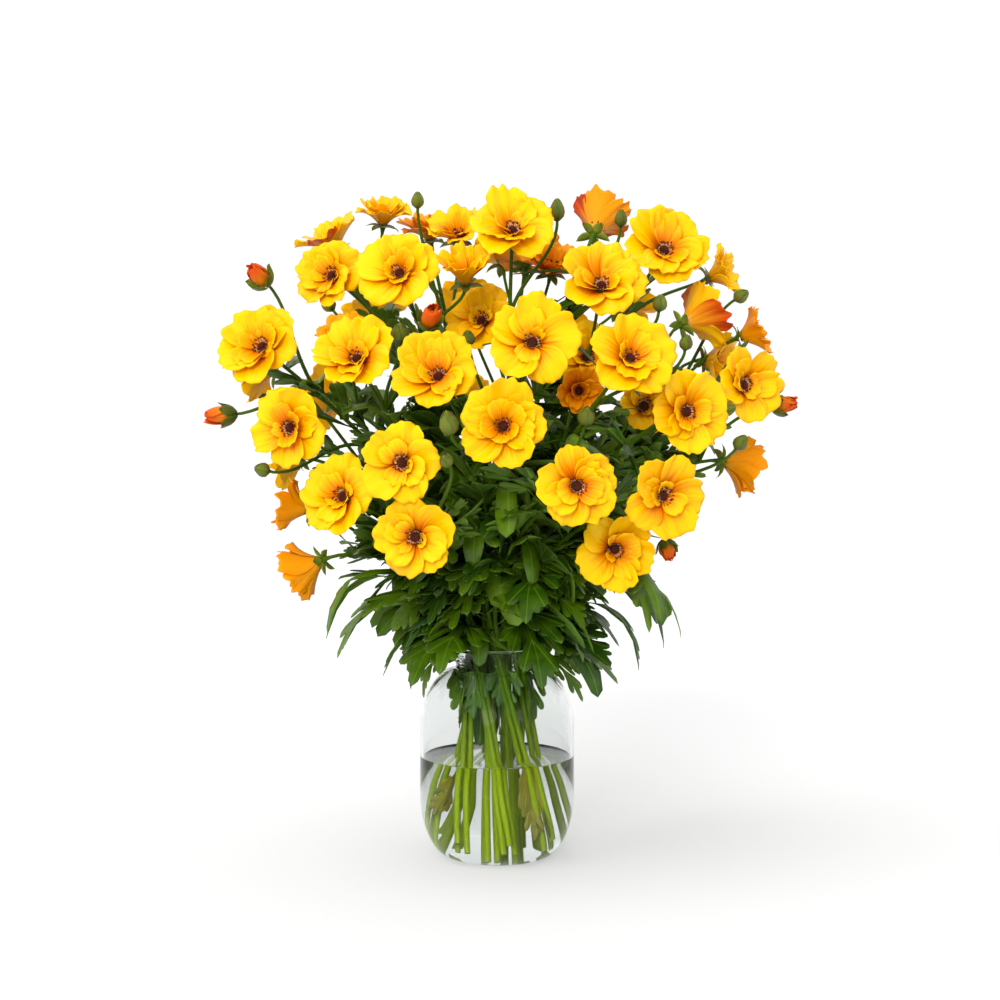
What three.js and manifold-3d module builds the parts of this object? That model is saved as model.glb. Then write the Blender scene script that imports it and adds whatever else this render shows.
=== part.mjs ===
// A round bunch of cut butterfly ranunculus in a clear glass jar of water.
// Millimetres, +Z up. The origin is the centre of the jar's foot, and the viewer stands on the -Y side.
// The jar and the water are turned shapes. Nine leafy sprays of three stems each stand in plain holes in
// the water, cross the neck as a twisted sheaf and fan out. Each bloom sits on its own flower stalk.

import * as THREE from "three";
import { mergeVertices } from "three/addons/utils/BufferGeometryUtils.js";
import Module from "manifold-3d";

const wasm = await Module();
wasm.setup();

// Jar
const BODY_RADIUS = 68.5;
const FOOT_RADIUS = 40;
const WALL = 3;
const FLOOR = 5;
const CORNER_TOP = 57;
const SHOULDER_FOOT = 116;
const SHOULDER_TOP = 168;
const NECK_RADIUS = 36.5;
const RIM_RADIUS = 41.5;
const RIM_HEIGHT = 188;
const JAR_SIDES = 24;

// Water
const WATER_LEVEL = 89;
const GAP = 0.45;

// Sheaf of stems
const NECK_Z = 184;
const SHEAF_RING = 23.5;
const INNER_RING = 7.5;
const CLUSTER_RADIUS = 2.6;
const TWIST_PER_MM = 0.0106;
const STEM_RADIUS = 2.6;
const STALK_RADIUS = 1.5;
const STEM_SIDES = 5;
const STALK_SIDES = 4;
const CALYX_RADIUS = 3.8;

// Blooms and leaves
const HUB_RADIUS = 4.6;
const HUB_HEIGHT = 2;
const CONE_HEIGHT = 8;
const PETAL_THICKNESS = 1.4;
const LEAF_THICKNESS = 1.4;
const PETAL_RIM = [[0.74, 1], [0.96, 0.62]];
const INNER_PETAL_RIM = [[0.74, 1]];
const PETAL_SPREAD = 34;
const STRAP_RIM = [[0.3, 0.9], [0.7, 0.8]];
const LOBED_RIM = [[0.3, 0.34], [0.48, 1], [0.62, 0.4], [0.86, 0.66]];

const PETAL_YELLOW = new THREE.MeshStandardMaterial({ color: 0xffc404, roughness: 0.45 });
const LEAF_GREEN = new THREE.MeshStandardMaterial({ color: 0x2f5a17, roughness: 0.5 });
const CLEAR_GLASS = new THREE.MeshStandardMaterial({
  color: 0xf2f6f5, roughness: 0.05, transparent: true, opacity: 0.3,
});
const CLEAR_WATER = new THREE.MeshStandardMaterial({
  color: 0xdce8e2, roughness: 0.02, transparent: true, opacity: 0.4,
});

const UP = new THREE.Vector3(0, 0, 1);
const bouquet = new THREE.Group();

// A bloom: x, y, z of its base, where it looks (yaw to the viewer's right, pitch upwards, in degrees),
// its width, and how open it is, from 0, a cup, to 1, flat.
const bloom = (x, y, z, yaw, pitch, width, open) => ({ x, y, z, yaw, pitch, width, open });
// A bud: x, y, z of its base, where it points, its width and its length.
const bud = (x, y, z, yaw, pitch, width, length) => ({ x, y, z, yaw, pitch, width, length });
// A side shoot leaves one of the spray's three stems at one of the joints between its neck, 0, and bloom, 5.
const shoot = (stem, joint, tip) => ({ stem, joint, tip });

// The sprays, in the order that they stand in the neck. turn is where the spray leaves the neck,
// in degrees round from the viewer's side towards the right.
const SPRAYS = [
  {
    name: "front", turn: 0, ring: SHEAF_RING,
    leaders: [
      bloom(5, -178, 386, 0, 8, 78, 0.8),
      bloom(62, -178, 339, 10, 4, 72, 0.95),
      bloom(28, -145, 452, 4, 14, 80, 0.75),
    ],
    shoots: [
      shoot(0, 3, bloom(-46, -148, 423, -10, 28, 78, 0.75)),
      shoot(2, 3, bud(-23, -112, 452, -10, 60, 11, 14)),
      shoot(0, 4, bud(-36, -193, 381, -20, 60, 15, 22)),
      shoot(1, 3, bud(71, -150, 388, 10, 50, 14, 18)),
    ],
  },
  {
    name: "front_left", turn: -48, ring: SHEAF_RING,
    leaders: [
      bloom(-64, -163, 298, -12, 0, 72, 0.95),
      bloom(-124, -116, 326, -26, 12, 74, 0.75),
      bloom(-114, -106, 437, -14, 34, 78, 0.7),
    ],
    shoots: [
      shoot(0, 3, bloom(-74, -164, 357, -14, 4, 72, 0.85)),
      shoot(1, 3, bloom(-169, -98, 383, -22, 5, 74, 0.9)),
      shoot(0, 4, bud(-38, -197, 358, -20, 30, 11, 13)),
      shoot(2, 4, bud(-80, -96, 455, 0, 60, 15, 18)),
    ],
  },
  {
    name: "left", turn: -98, ring: SHEAF_RING,
    leaders: [
      bloom(-150, -45, 268, -110, -25, 56, 0.35),
      bloom(-196, -62, 448, -22, 26, 80, 0.85),
      bloom(-178, 66, 352, -112, 4, 70, 0.85),
    ],
    shoots: [
      shoot(0, 3, bloom(-160, -52, 312, -95, 12, 56, 0.45)),
      shoot(1, 3, bloom(-128, -62, 450, -20, 50, 50, 0.4)),
      shoot(2, 3, bloom(-200, 50, 430, -105, 15, 72, 0.8)),
      shoot(1, 4, bud(-222, -50, 394, -80, -6, 18, 26)),
      shoot(1, 4, bud(-196, -40, 504, -40, 35, 22, 24)),
      shoot(1, 3, bud(-192, -74, 346, -70, 14, 12, 14)),
    ],
  },
  {
    name: "rear_left", turn: -150, ring: SHEAF_RING,
    leaders: [
      bloom(-92, 156, 322, -155, 2, 72, 0.9),
      bloom(-152, 122, 404, -135, 14, 74, 0.8),
      bloom(-104, 118, 482, -140, 38, 74, 0.75),
    ],
    shoots: [
      shoot(1, 3, bloom(-140, 118, 318, -130, -8, 62, 0.6)),
      shoot(0, 3, bloom(-36, 172, 398, -172, 10, 76, 0.85)),
      shoot(2, 4, bud(-150, 80, 486, -110, 50, 13, 17)),
    ],
  },
  {
    name: "rear_right", turn: 150, ring: SHEAF_RING,
    leaders: [
      bloom(48, 168, 334, 168, 2, 74, 0.9),
      bloom(64, 146, 452, 158, 26, 76, 0.8),
      bloom(138, 132, 392, 136, 10, 74, 0.85),
    ],
    shoots: [
      shoot(0, 3, bloom(-26, 140, 482, 175, 38, 70, 0.7)),
      shoot(2, 3, bloom(128, 132, 310, 142, -8, 60, 0.6)),
      shoot(1, 3, bloom(6, 92, 528, 175, 62, 70, 0.8)),
    ],
  },
  {
    name: "right", turn: 98, ring: SHEAF_RING,
    leaders: [
      bloom(196, -18, 352, 108, -12, 60, 0.4),
      bloom(205, -60, 418, 34, 6, 74, 0.75),
      bloom(200, 76, 424, 108, 12, 72, 0.8),
    ],
    shoots: [
      shoot(1, 3, bloom(158, -44, 470, 120, 20, 66, 0.4)),
      shoot(2, 3, bloom(214, 16, 460, 84, 20, 52, 0.45)),
      shoot(2, 4, bud(206, -20, 492, 60, 30, 12, 15)),
      shoot(0, 4, bud(238, -12, 400, 75, 8, 20, 24)),
      shoot(0, 3, bud(198, -104, 366, 60, 50, 12, 15)),
    ],
  },
  {
    name: "front_right", turn: 48, ring: SHEAF_RING,
    leaders: [
      bloom(132, -138, 330, 24, -4, 76, 0.9),
      bloom(153, -116, 397, 20, 2, 76, 0.8),
      bloom(106, -136, 438, 14, 24, 80, 0.75),
    ],
    shoots: [
      shoot(0, 3, bloom(96, -112, 285, 8, -8, 72, 0.7)),
      shoot(1, 3, bloom(124, -52, 400, 10, 6, 50, 0.6)),
      shoot(2, 4, bud(156, -98, 448, 20, 70, 11, 14)),
      shoot(0, 3, bud(140, -92, 290, 30, -60, 16, 20)),
      shoot(1, 4, bud(184, -108, 398, 60, 10, 12, 15)),
    ],
  },
  {
    name: "top_left", turn: -80, ring: INNER_RING,
    leaders: [
      bloom(-81, -68, 510, -8, 22, 78, 0.75),
      bloom(-142, 14, 536, -60, 62, 66, 0.6),
      bloom(-60, 62, 548, -20, 72, 60, 0.6),
    ],
    shoots: [
      shoot(0, 3, bloom(-139, -30, 510, -26, 18, 70, 0.8)),
      shoot(0, 4, bloom(-27, -52, 504, -6, 58, 52, 0.3)),
      shoot(1, 4, bloom(-102, 38, 560, 15, 72, 56, 0.6)),
      shoot(2, 3, bud(-70, 18, 574, 0, 80, 11, 15)),
      shoot(0, 3, bud(-58, -108, 466, 20, 40, 19, 24)),
    ],
  },
  {
    name: "top_right", turn: 80, ring: INNER_RING,
    leaders: [
      bloom(13, -44, 546, 2, 38, 82, 0.85),
      bloom(141, -42, 530, 14, 28, 80, 0.85),
      bloom(86, 30, 552, 160, 36, 56, 0.15),
    ],
    shoots: [
      shoot(1, 3, bloom(87, -76, 498, 5, 34, 78, 0.8)),
      shoot(0, 3, bloom(24, 24, 522, 178, 50, 66, 0.45)),
      shoot(1, 4, bloom(186, 14, 512, 70, 22, 54, 0.4)),
      shoot(2, 3, bloom(112, 96, 488, 140, 38, 70, 0.8)),
      shoot(0, 4, bud(52, -20, 560, 0, 85, 13, 20)),
      shoot(2, 4, bud(108, -2, 556, 10, 82, 11, 16)),
      shoot(1, 4, bud(134, -100, 480, 20, 70, 12, 15)),
    ],
  },
];

// A fixed sequence of draws between low and high.
let drawState = 20240;
function draw(low, high) {
  drawState = (drawState * 1664525 + 1013904223) % 4294967296;
  return low + ((high - low) * drawState) / 4294967296;
}

const radians = THREE.MathUtils.degToRad;

// The unit vector that looks yaw degrees to the viewer's right and pitch degrees up.
function looking(yaw, pitch) {
  const level = Math.cos(radians(pitch));
  return new THREE.Vector3(
    Math.sin(radians(yaw)) * level, -Math.cos(radians(yaw)) * level, Math.sin(radians(pitch)));
}

function indexed(points, faces) {
  return new THREE.BufferGeometry().setFromPoints(points).setIndex(faces.flat());
}

// A three.js geometry as a solid that can be joined and cut.
function solidOf(geometry) {
  const bare = geometry.clone();
  bare.deleteAttribute("normal");
  bare.deleteAttribute("uv");
  const merged = mergeVertices(bare, 1e-4);
  return new wasm.Manifold(new wasm.Mesh({
    numProp: 3,
    vertProperties: merged.attributes.position.array,
    triVerts: new Uint32Array(merged.index.array),
  }));
}

function addNode(name, solid, material) {
  const mesh = solid.getMesh();
  const geometry = new THREE.BufferGeometry();
  geometry.setAttribute("position", new THREE.BufferAttribute(mesh.vertProperties, 3));
  geometry.setIndex(new THREE.BufferAttribute(mesh.triVerts, 1));
  geometry.computeVertexNormals();
  const node = new THREE.Mesh(geometry, material);
  node.name = name;
  bouquet.add(node);
}

// A quarter of an ellipse from (r0, z0) to (r1, z1); bulge tells which end it leaves upright.
function quarter(r0, z0, r1, z1, steps, uprightAtEnd) {
  const points = [];
  for (let i = 0; i <= steps; i++) {
    const a = ((Math.PI / 2) * i) / steps;
    points.push(uprightAtEnd
      ? new THREE.Vector2(r0 + (r1 - r0) * Math.sin(a), z0 + (z1 - z0) * (1 - Math.cos(a)))
      : new THREE.Vector2(r0 + (r1 - r0) * (1 - Math.cos(a)), z0 + (z1 - z0) * Math.sin(a)));
  }
  return points;
}

function turned(profile, sides) {
  return solidOf(new THREE.LatheGeometry(profile, sides).rotateX(Math.PI / 2));
}

// The cavity's profile, from the middle of the floor up to the neck, set in by the given gap.
function cavityProfile(gap) {
  return [
    new THREE.Vector2(0, FLOOR + gap),
    ...quarter(FOOT_RADIUS - WALL, FLOOR + gap, BODY_RADIUS - WALL - gap, CORNER_TOP, 4, true),
    ...quarter(BODY_RADIUS - WALL - gap, SHOULDER_FOOT, NECK_RADIUS - WALL - gap, SHOULDER_TOP - WALL, 4, false),
  ];
}

// The cavity's radius at a height within its lower corner or its straight wall.
function cavityRadius(z) {
  if (z >= CORNER_TOP) return BODY_RADIUS - WALL;
  const share = (z - FLOOR) / (CORNER_TOP - FLOOR);
  const reach = Math.sqrt(Math.max(0, 1 - (1 - share) ** 2));
  return FOOT_RADIUS - WALL + (BODY_RADIUS - FOOT_RADIUS) * reach;
}

function makeJar() {
  const outside = [
    new THREE.Vector2(0, 0),
    ...quarter(FOOT_RADIUS, 0, BODY_RADIUS, CORNER_TOP, 5, true),
    ...quarter(BODY_RADIUS, SHOULDER_FOOT, NECK_RADIUS, SHOULDER_TOP, 4, false),
    new THREE.Vector2(NECK_RADIUS, SHOULDER_TOP + 6),
    new THREE.Vector2(NECK_RADIUS + 1.4, RIM_HEIGHT - 8),
    new THREE.Vector2(RIM_RADIUS, RIM_HEIGHT - 2),
    new THREE.Vector2(RIM_RADIUS - 0.8, RIM_HEIGHT),
    new THREE.Vector2(RIM_RADIUS - 2.4, RIM_HEIGHT),
    new THREE.Vector2(NECK_RADIUS - WALL + 1.2, RIM_HEIGHT - 9),
  ];
  return turned([...outside, ...cavityProfile(0).reverse()], JAR_SIDES);
}

// A tube round a path, with one radius for each of its points and a flat cap at either end.
function tube(path, radii, sides) {
  const points = [];
  const faces = [];
  let across = new THREE.Vector3(1, 0.13, 0.07);
  path.forEach((at, i) => {
    const along = path[Math.min(i + 1, path.length - 1)].clone().sub(path[Math.max(i - 1, 0)]).normalize();
    across = across.clone().addScaledVector(along, -across.dot(along)).normalize();
    const third = along.clone().cross(across);
    for (let k = 0; k < sides; k++) {
      const a = (2 * Math.PI * k) / sides;
      points.push(at.clone()
        .addScaledVector(across, radii[i] * Math.cos(a))
        .addScaledVector(third, radii[i] * Math.sin(a)));
    }
  });
  for (let i = 0; i + 1 < path.length; i++) {
    for (let k = 0; k < sides; k++) {
      const a = i * sides + k;
      const b = i * sides + ((k + 1) % sides);
      faces.push([a, b, b + sides], [a, b + sides, a + sides]);
    }
  }
  const last = points.length - sides;
  for (let k = 1; k + 1 < sides; k++) {
    faces.push([0, k + 1, k], [last, last + k, last + k + 1]);
  }
  return solidOf(indexed(points, faces));
}

// Both faces of a blade, as fans round a middle that stands out from each face of a fine-edged outline.
// root holds the two outline points at its foot on the under face and on the upper face, if it has any.
function bladeFaces(points, faces, { root, outline, middle, normal, thickness }) {
  const rim = outline.map((at) => points.push(at) - 1);
  for (const face of [0, 1]) {
    const centre = points.push(middle.clone().addScaledVector(normal, (face - 0.5) * thickness)) - 1;
    const loop = root ? [root[0][face], ...rim, root[1][face]] : rim;
    loop.forEach((from, k) => {
      const to = loop[(k + 1) % loop.length];
      faces.push(face ? [from, to, centre] : [to, from, centre]);
    });
  }
  if (root) {
    faces.push([root[0][0], rim[0], root[0][1]], [root[1][1], rim[rim.length - 1], root[1][0]]);
  }
}

// The outline of a blade from its right-hand root round its tip, from the stations of one half.
const bothHalves = (rim, place) => [
  ...rim.map(([s, v]) => place(s, -v)),
  place(1, 0),
  ...rim.slice().reverse().map(([s, v]) => place(s, v)),
];

// Two rings of five petals round a small seed cone, looking along +Z. Each petal grows out of one side of
// its ring's hub and is as wide as its share of the circle. A cup stands steeper than a flat bloom.
function bloomSolid({ width, open }, spin) {
  const points = [];
  const faces = [];
  const reach = width / 2 - 3.5;
  const rise = 78 - 40 * open;
  const fall = 52 - 62 * open;
  const length = reach / Math.cos(radians((rise + fall) / 2));
  const rings = [
    { turn: spin, radius: HUB_RADIUS, base: 0, length, rise, fall, rim: PETAL_RIM },
    {
      turn: spin + Math.PI / 5, radius: HUB_RADIUS * 0.8, base: 3, length: length * 0.6,
      rise: rise + 12, fall: fall + 18, rim: INNER_PETAL_RIM,
    },
  ];
  const hubs = rings.map((ring) => [0, 1].map((face) => Array.from({ length: 5 }, (_, i) => {
    const a = ring.turn + (2 * Math.PI * (i - 0.5)) / 5;
    return points.push(new THREE.Vector3(
      ring.radius * Math.cos(a), ring.radius * Math.sin(a), ring.base + face * HUB_HEIGHT)) - 1;
  })));
  const apex = points.push(new THREE.Vector3(0, 0, CONE_HEIGHT)) - 1;
  rings.forEach((ring, r) => {
    const slopeAt = (s) => radians(ring.rise + (ring.fall - ring.rise) * s * 0.5);
    const outAt = (s) => ring.radius * 0.81 + ring.length * s * Math.cos(slopeAt(s));
    const half = outAt(ring.rim[0][0]) * Math.tan(radians(PETAL_SPREAD));
    for (let i = 0; i < 5; i++) {
      const heading = ring.turn + (2 * Math.PI * i) / 5;
      const away = new THREE.Vector3(Math.cos(heading), Math.sin(heading), 0);
      const side = new THREE.Vector3(-away.y, away.x, 0);
      const place = (s, v) => away.clone().multiplyScalar(outAt(s))
        .addScaledVector(side, v * half)
        .setZ(ring.base + 1 + ring.length * s * Math.sin(slopeAt(s)) + half * (Math.abs(v) * 0.12 + v * 0.1));
      const next = (i + 1) % 5;
      bladeFaces(points, faces, {
        root: [[hubs[r][0][i], hubs[r][1][i]], [hubs[r][0][next], hubs[r][1][next]]],
        outline: bothHalves(ring.rim, place),
        middle: place(0.58, 0),
        normal: UP,
        thickness: PETAL_THICKNESS,
      });
    }
  });
  const [[bottom, top], [innerBottom, innerTop]] = hubs;
  for (let i = 0; i < 5; i++) {
    const next = (i + 1) % 5;
    faces.push([top[i], top[next], innerBottom[i]], [top[next], innerBottom[next], innerBottom[i]]);
    faces.push([innerTop[i], innerTop[next], apex]);
    if (i > 0 && i < 4) faces.push([bottom[0], bottom[next], bottom[i]]);
  }
  return solidOf(indexed(points, faces));
}

function placed(solid, at, axis) {
  const turn = new THREE.Quaternion().setFromUnitVectors(UP, axis);
  return solid.transform(new THREE.Matrix4().compose(at, turn, new THREE.Vector3(1, 1, 1)).toArray());
}

// Where a stem of the sheaf is at a height: straight lines that twist round each other and never meet.
function sheafPoint(neck, z) {
  const t = (NECK_Z - z) * TWIST_PER_MM;
  return new THREE.Vector3(neck.x - neck.y * t, neck.y + neck.x * t, z);
}

// The cut end of a stem: as low as the jar's rounded corner lets it stand.
function cutEnd(neck) {
  for (let z = FLOOR + 3; z < CORNER_TOP; z++) {
    const at = sheafPoint(neck, z);
    if (Math.hypot(at.x, at.y) + STEM_RADIUS + 2.5 < cavityRadius(z - 2)) return at;
  }
  return sheafPoint(neck, CORNER_TOP);
}

// A curve that leaves a point in one direction and arrives at another.
function route(from, leaving, to, arriving, straightEnd) {
  const reach = from.distanceTo(to);
  return new THREE.CubicBezierCurve3(
    from,
    from.clone().addScaledVector(leaving, reach * 0.42),
    to.clone().addScaledVector(arriving, -Math.min(reach * 0.34, straightEnd)),
    to,
  );
}

// The base of a bloom or bud, just behind its lowest petals.
const tipBase = (tip, axis) => new THREE.Vector3(tip.x, tip.y, tip.z).addScaledVector(axis, -GAP);

// The stalk that ends under a bloom, flared as its calyx, or swells into a bud.
function stalk(before, joints, firstRadius, tip) {
  const axis = looking(tip.yaw, tip.pitch);
  const path = [...before, ...joints];
  const radii = path.map((_, i) => firstRadius + ((STALK_RADIUS - firstRadius) * i) / path.length);
  const end = path[path.length - 1];
  if (tip.length) {
    [[0.3, 0.5], [0.7, 0.4], [1, 0]].forEach(([share, girth]) => {
      path.push(end.clone().addScaledVector(axis, share * tip.length));
      radii.push(girth * tip.width);
    });
  } else {
    path.splice(path.length - 1, 0, end.clone().addScaledVector(axis, -4));
    radii.push(CALYX_RADIUS);
  }
  return tube(path, radii, before.length || tip.length ? STEM_SIDES : STALK_SIDES);
}

// One leaf from a point on a stem. heading is the way it grows, rise and fall its slopes at root and tip.
function leaf({ rim, root, heading, length, halfWidth, rise, fall }, thickness, grow) {
  const level = new THREE.Vector3(Math.cos(heading), Math.sin(heading), 0);
  const side = new THREE.Vector3(-level.y, level.x, 0);
  const sloping = (angle) => level.clone().multiplyScalar(Math.cos(radians(angle)))
    .addScaledVector(UP, Math.sin(radians(angle)));
  const knee = root.clone().addScaledVector(sloping(rise), length * grow * 0.5);
  const midrib = new THREE.QuadraticBezierCurve3(
    root, knee, knee.clone().addScaledVector(sloping(fall), length * grow * 0.5));
  const normal = midrib.getTangent(0.5).cross(side).normalize();
  const place = (s, v) => midrib.getPoint(s)
    .addScaledVector(side, v * halfWidth * grow)
    .addScaledVector(normal, Math.abs(v) * halfWidth * 0.2);
  const points = [];
  const faces = [];
  bladeFaces(points, faces, {
    outline: [root, ...bothHalves(rim, place)], middle: place(0.5, 0), normal, thickness,
  });
  return solidOf(indexed(points, faces));
}

// The places for leaves on a stem, from the big drooping ones at the neck to the narrow ones under the
// blooms: between which two joints, outline, length, half width and slopes. Each place has a few tries.
const LEAF_PLACES = [
  { joint: 0, rim: LOBED_RIM, length: [92, 122], half: [24, 31], rise: [0, 40], fall: [-80, -35] },
  { joint: 1, rim: LOBED_RIM, length: [88, 116], half: [23, 30], rise: [10, 50], fall: [-60, -10] },
  { joint: 2, rim: LOBED_RIM, length: [74, 100], half: [19, 25], rise: [25, 60], fall: [-35, 15] },
  { joint: 3, rim: STRAP_RIM, length: [50, 72], half: [5, 7], rise: [35, 70], fall: [-15, 35] },
];

function leafTries(joints) {
  return LEAF_PLACES.map((at) => {
    const root = joints[at.joint].clone().lerp(joints[at.joint + 1], 0.55);
    const outward = Math.atan2(root.y, root.x);
    return Array.from({ length: 8 }, () => ({
      rim: at.rim,
      root,
      heading: outward + radians(draw(-80, 80)),
      length: draw(...at.length),
      halfWidth: draw(...at.half),
      rise: draw(...at.rise),
      fall: draw(...at.fall),
    }));
  });
}

const blooms = [];
const sprays = [];
const stemsInWater = [];

for (const plan of SPRAYS) {
  const solids = [];
  const leafPlans = [];
  const stems = plan.leaders.map((tip, k) => {
    const around = radians(plan.turn - 90 + 120 * k);
    const middle = radians(plan.turn - 90);
    const neck = new THREE.Vector3(
      plan.ring * Math.cos(middle) + CLUSTER_RADIUS * Math.cos(around),
      plan.ring * Math.sin(middle) + CLUSTER_RADIUS * Math.sin(around),
      NECK_Z);
    const foot = cutEnd(neck);
    const axis = looking(tip.yaw, tip.pitch);
    const leaving = neck.clone().sub(foot).normalize();
    const joints = route(neck, leaving, tipBase(tip, axis), axis, 46).getSpacedPoints(5);
    solids.push(stalk([foot], joints, STEM_RADIUS, tip));
    stemsInWater.push(tube([sheafPoint(neck, foot.z - GAP), sheafPoint(neck, WATER_LEVEL + 5)],
      [STEM_RADIUS + GAP, STEM_RADIUS + GAP], STEM_SIDES));
    blooms.push({ name: `bloom_${plan.name}_${k + 1}`, tip, axis });
    leafPlans.push(...leafTries(joints));
    return joints;
  });
  plan.shoots.forEach(({ stem, joint, tip }, k) => {
    const axis = looking(tip.yaw, tip.pitch);
    const from = stems[stem][joint];
    const to = tipBase(tip, axis);
    const onward = from.clone().sub(stems[stem][joint - 1]).normalize();
    const leaving = to.clone().sub(from).normalize().add(onward).normalize();
    solids.push(stalk([], route(from, leaving, to, axis, 32).getSpacedPoints(tip.length ? 2 : 3), STALK_RADIUS, tip));
    if (!tip.length) blooms.push({ name: `bloom_${plan.name}_${k + 4}`, tip, axis });
  });
  sprays.push({ name: `spray_${plan.name}`, solid: wasm.Manifold.union(solids), leafPlans });
}

blooms.forEach((b, i) => {
  b.solid = placed(bloomSolid(b.tip, i * 0.7), new THREE.Vector3(b.tip.x, b.tip.y, b.tip.z), b.axis);
});

const jar = makeJar();

// A leaf is kept where it is clear of the jar, of the blooms and of the other sprays, and where it meets
// its own spray at its root alone: joining it then leaves no further hole through the spray or inside it.
for (const spray of sprays) {
  const others = [jar, ...blooms.map((b) => b.solid), ...sprays.filter((s) => s !== spray).map((s) => s.solid)];
  for (const tries of spray.leafPlans) {
    for (const plan of tries) {
      const roomy = leaf(plan, 4, 1.04);
      if (others.some((other) => !roomy.intersect(other).isEmpty())) continue;
      const joined = spray.solid.add(leaf(plan, LEAF_THICKNESS, 1));
      if (joined.genus() !== spray.solid.genus() || joined.decompose().length > 1) continue;
      spray.solid = joined;
      break;
    }
  }
}

const waterProfile = cavityProfile(GAP).filter((p) => p.y < WATER_LEVEL);
waterProfile.push(new THREE.Vector2(BODY_RADIUS - WALL - GAP, WATER_LEVEL), new THREE.Vector2(0, WATER_LEVEL));
const water = turned(waterProfile, JAR_SIDES).subtract(wasm.Manifold.union(stemsInWater));

addNode("jar", jar, CLEAR_GLASS);
addNode("water", water, CLEAR_WATER);
for (const spray of sprays) addNode(spray.name, spray.solid, LEAF_GREEN);
for (const b of blooms) addNode(b.name, b.solid, PETAL_YELLOW);

export default bouquet;
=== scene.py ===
# %% [markdown]
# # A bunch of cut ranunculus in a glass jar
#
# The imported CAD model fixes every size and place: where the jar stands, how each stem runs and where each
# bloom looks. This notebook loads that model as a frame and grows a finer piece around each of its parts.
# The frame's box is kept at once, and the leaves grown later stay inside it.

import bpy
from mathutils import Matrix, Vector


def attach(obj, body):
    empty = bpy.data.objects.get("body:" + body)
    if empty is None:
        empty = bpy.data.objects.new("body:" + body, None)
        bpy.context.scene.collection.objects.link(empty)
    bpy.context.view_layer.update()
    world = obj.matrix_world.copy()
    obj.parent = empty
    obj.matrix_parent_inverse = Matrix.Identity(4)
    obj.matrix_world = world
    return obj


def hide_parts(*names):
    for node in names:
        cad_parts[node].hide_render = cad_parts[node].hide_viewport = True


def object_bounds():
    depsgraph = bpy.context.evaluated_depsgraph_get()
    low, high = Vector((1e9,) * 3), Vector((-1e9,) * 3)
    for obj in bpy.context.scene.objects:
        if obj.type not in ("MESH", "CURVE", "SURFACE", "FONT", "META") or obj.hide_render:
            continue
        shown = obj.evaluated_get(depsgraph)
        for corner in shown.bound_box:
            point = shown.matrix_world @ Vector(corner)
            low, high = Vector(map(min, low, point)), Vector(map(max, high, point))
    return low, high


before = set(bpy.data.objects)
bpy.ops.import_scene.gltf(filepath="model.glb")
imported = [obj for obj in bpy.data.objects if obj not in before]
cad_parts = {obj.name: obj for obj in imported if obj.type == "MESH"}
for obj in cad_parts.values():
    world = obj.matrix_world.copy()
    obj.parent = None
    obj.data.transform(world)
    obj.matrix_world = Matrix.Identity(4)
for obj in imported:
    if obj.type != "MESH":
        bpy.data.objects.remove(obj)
CAD_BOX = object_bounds()
print("parts in the frame:", len(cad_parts))

# %% [markdown]
# Petals and leaves are thin curved sheets with thousands of points, and numpy moves them all in one sum.
# The plan below is written in millimetres, with the viewer on the -Y side, and turns to metres only when
# a mesh is made. Every random number comes from one seed, so the bunch grows the same way each time. Each
# step draws from a source of its own, so that a change in one step leaves the others as they are.

# %% Tools and units
import math
from collections import namedtuple

import bpy
import numpy as np
from mathutils import Vector
from mathutils.geometry import delaunay_2d_cdt
from mathutils.kdtree import KDTree

MM = 0.001
UP = np.array([0.0, 0.0, 1.0])
SEED = 7


def seeded(*numbers):
    """A source of random numbers of its own for each step and each piece."""
    return np.random.default_rng([SEED, *numbers])


print("one unit of the plan is", MM, "m")

# %% [markdown]
# A florist plans a bunch before tying it. Each spray is three stems that are pressed together where the
# hand holds them, and their side shoots. A bloom has the place of its base, where it looks (yaw to the
# viewer's right, pitch upwards, in degrees), its width, and how open it is, from 0, a cup, to 1, flat. A
# spray's turn says where round the neck it lies, and its ring how far from the middle. The numbers are those
# of the CAD source, so every piece made here stands on its solid.

# %% The sprays
Bloom = namedtuple("Bloom", "x y z yaw pitch width openness")
Bud = namedtuple("Bud", "x y z yaw pitch width length")
Shoot = namedtuple("Shoot", "stem joint tip")
Spray = namedtuple("Spray", "name turn ring leaders shoots")

SHEAF_RING = 23.5
INNER_RING = 7.5

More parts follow.
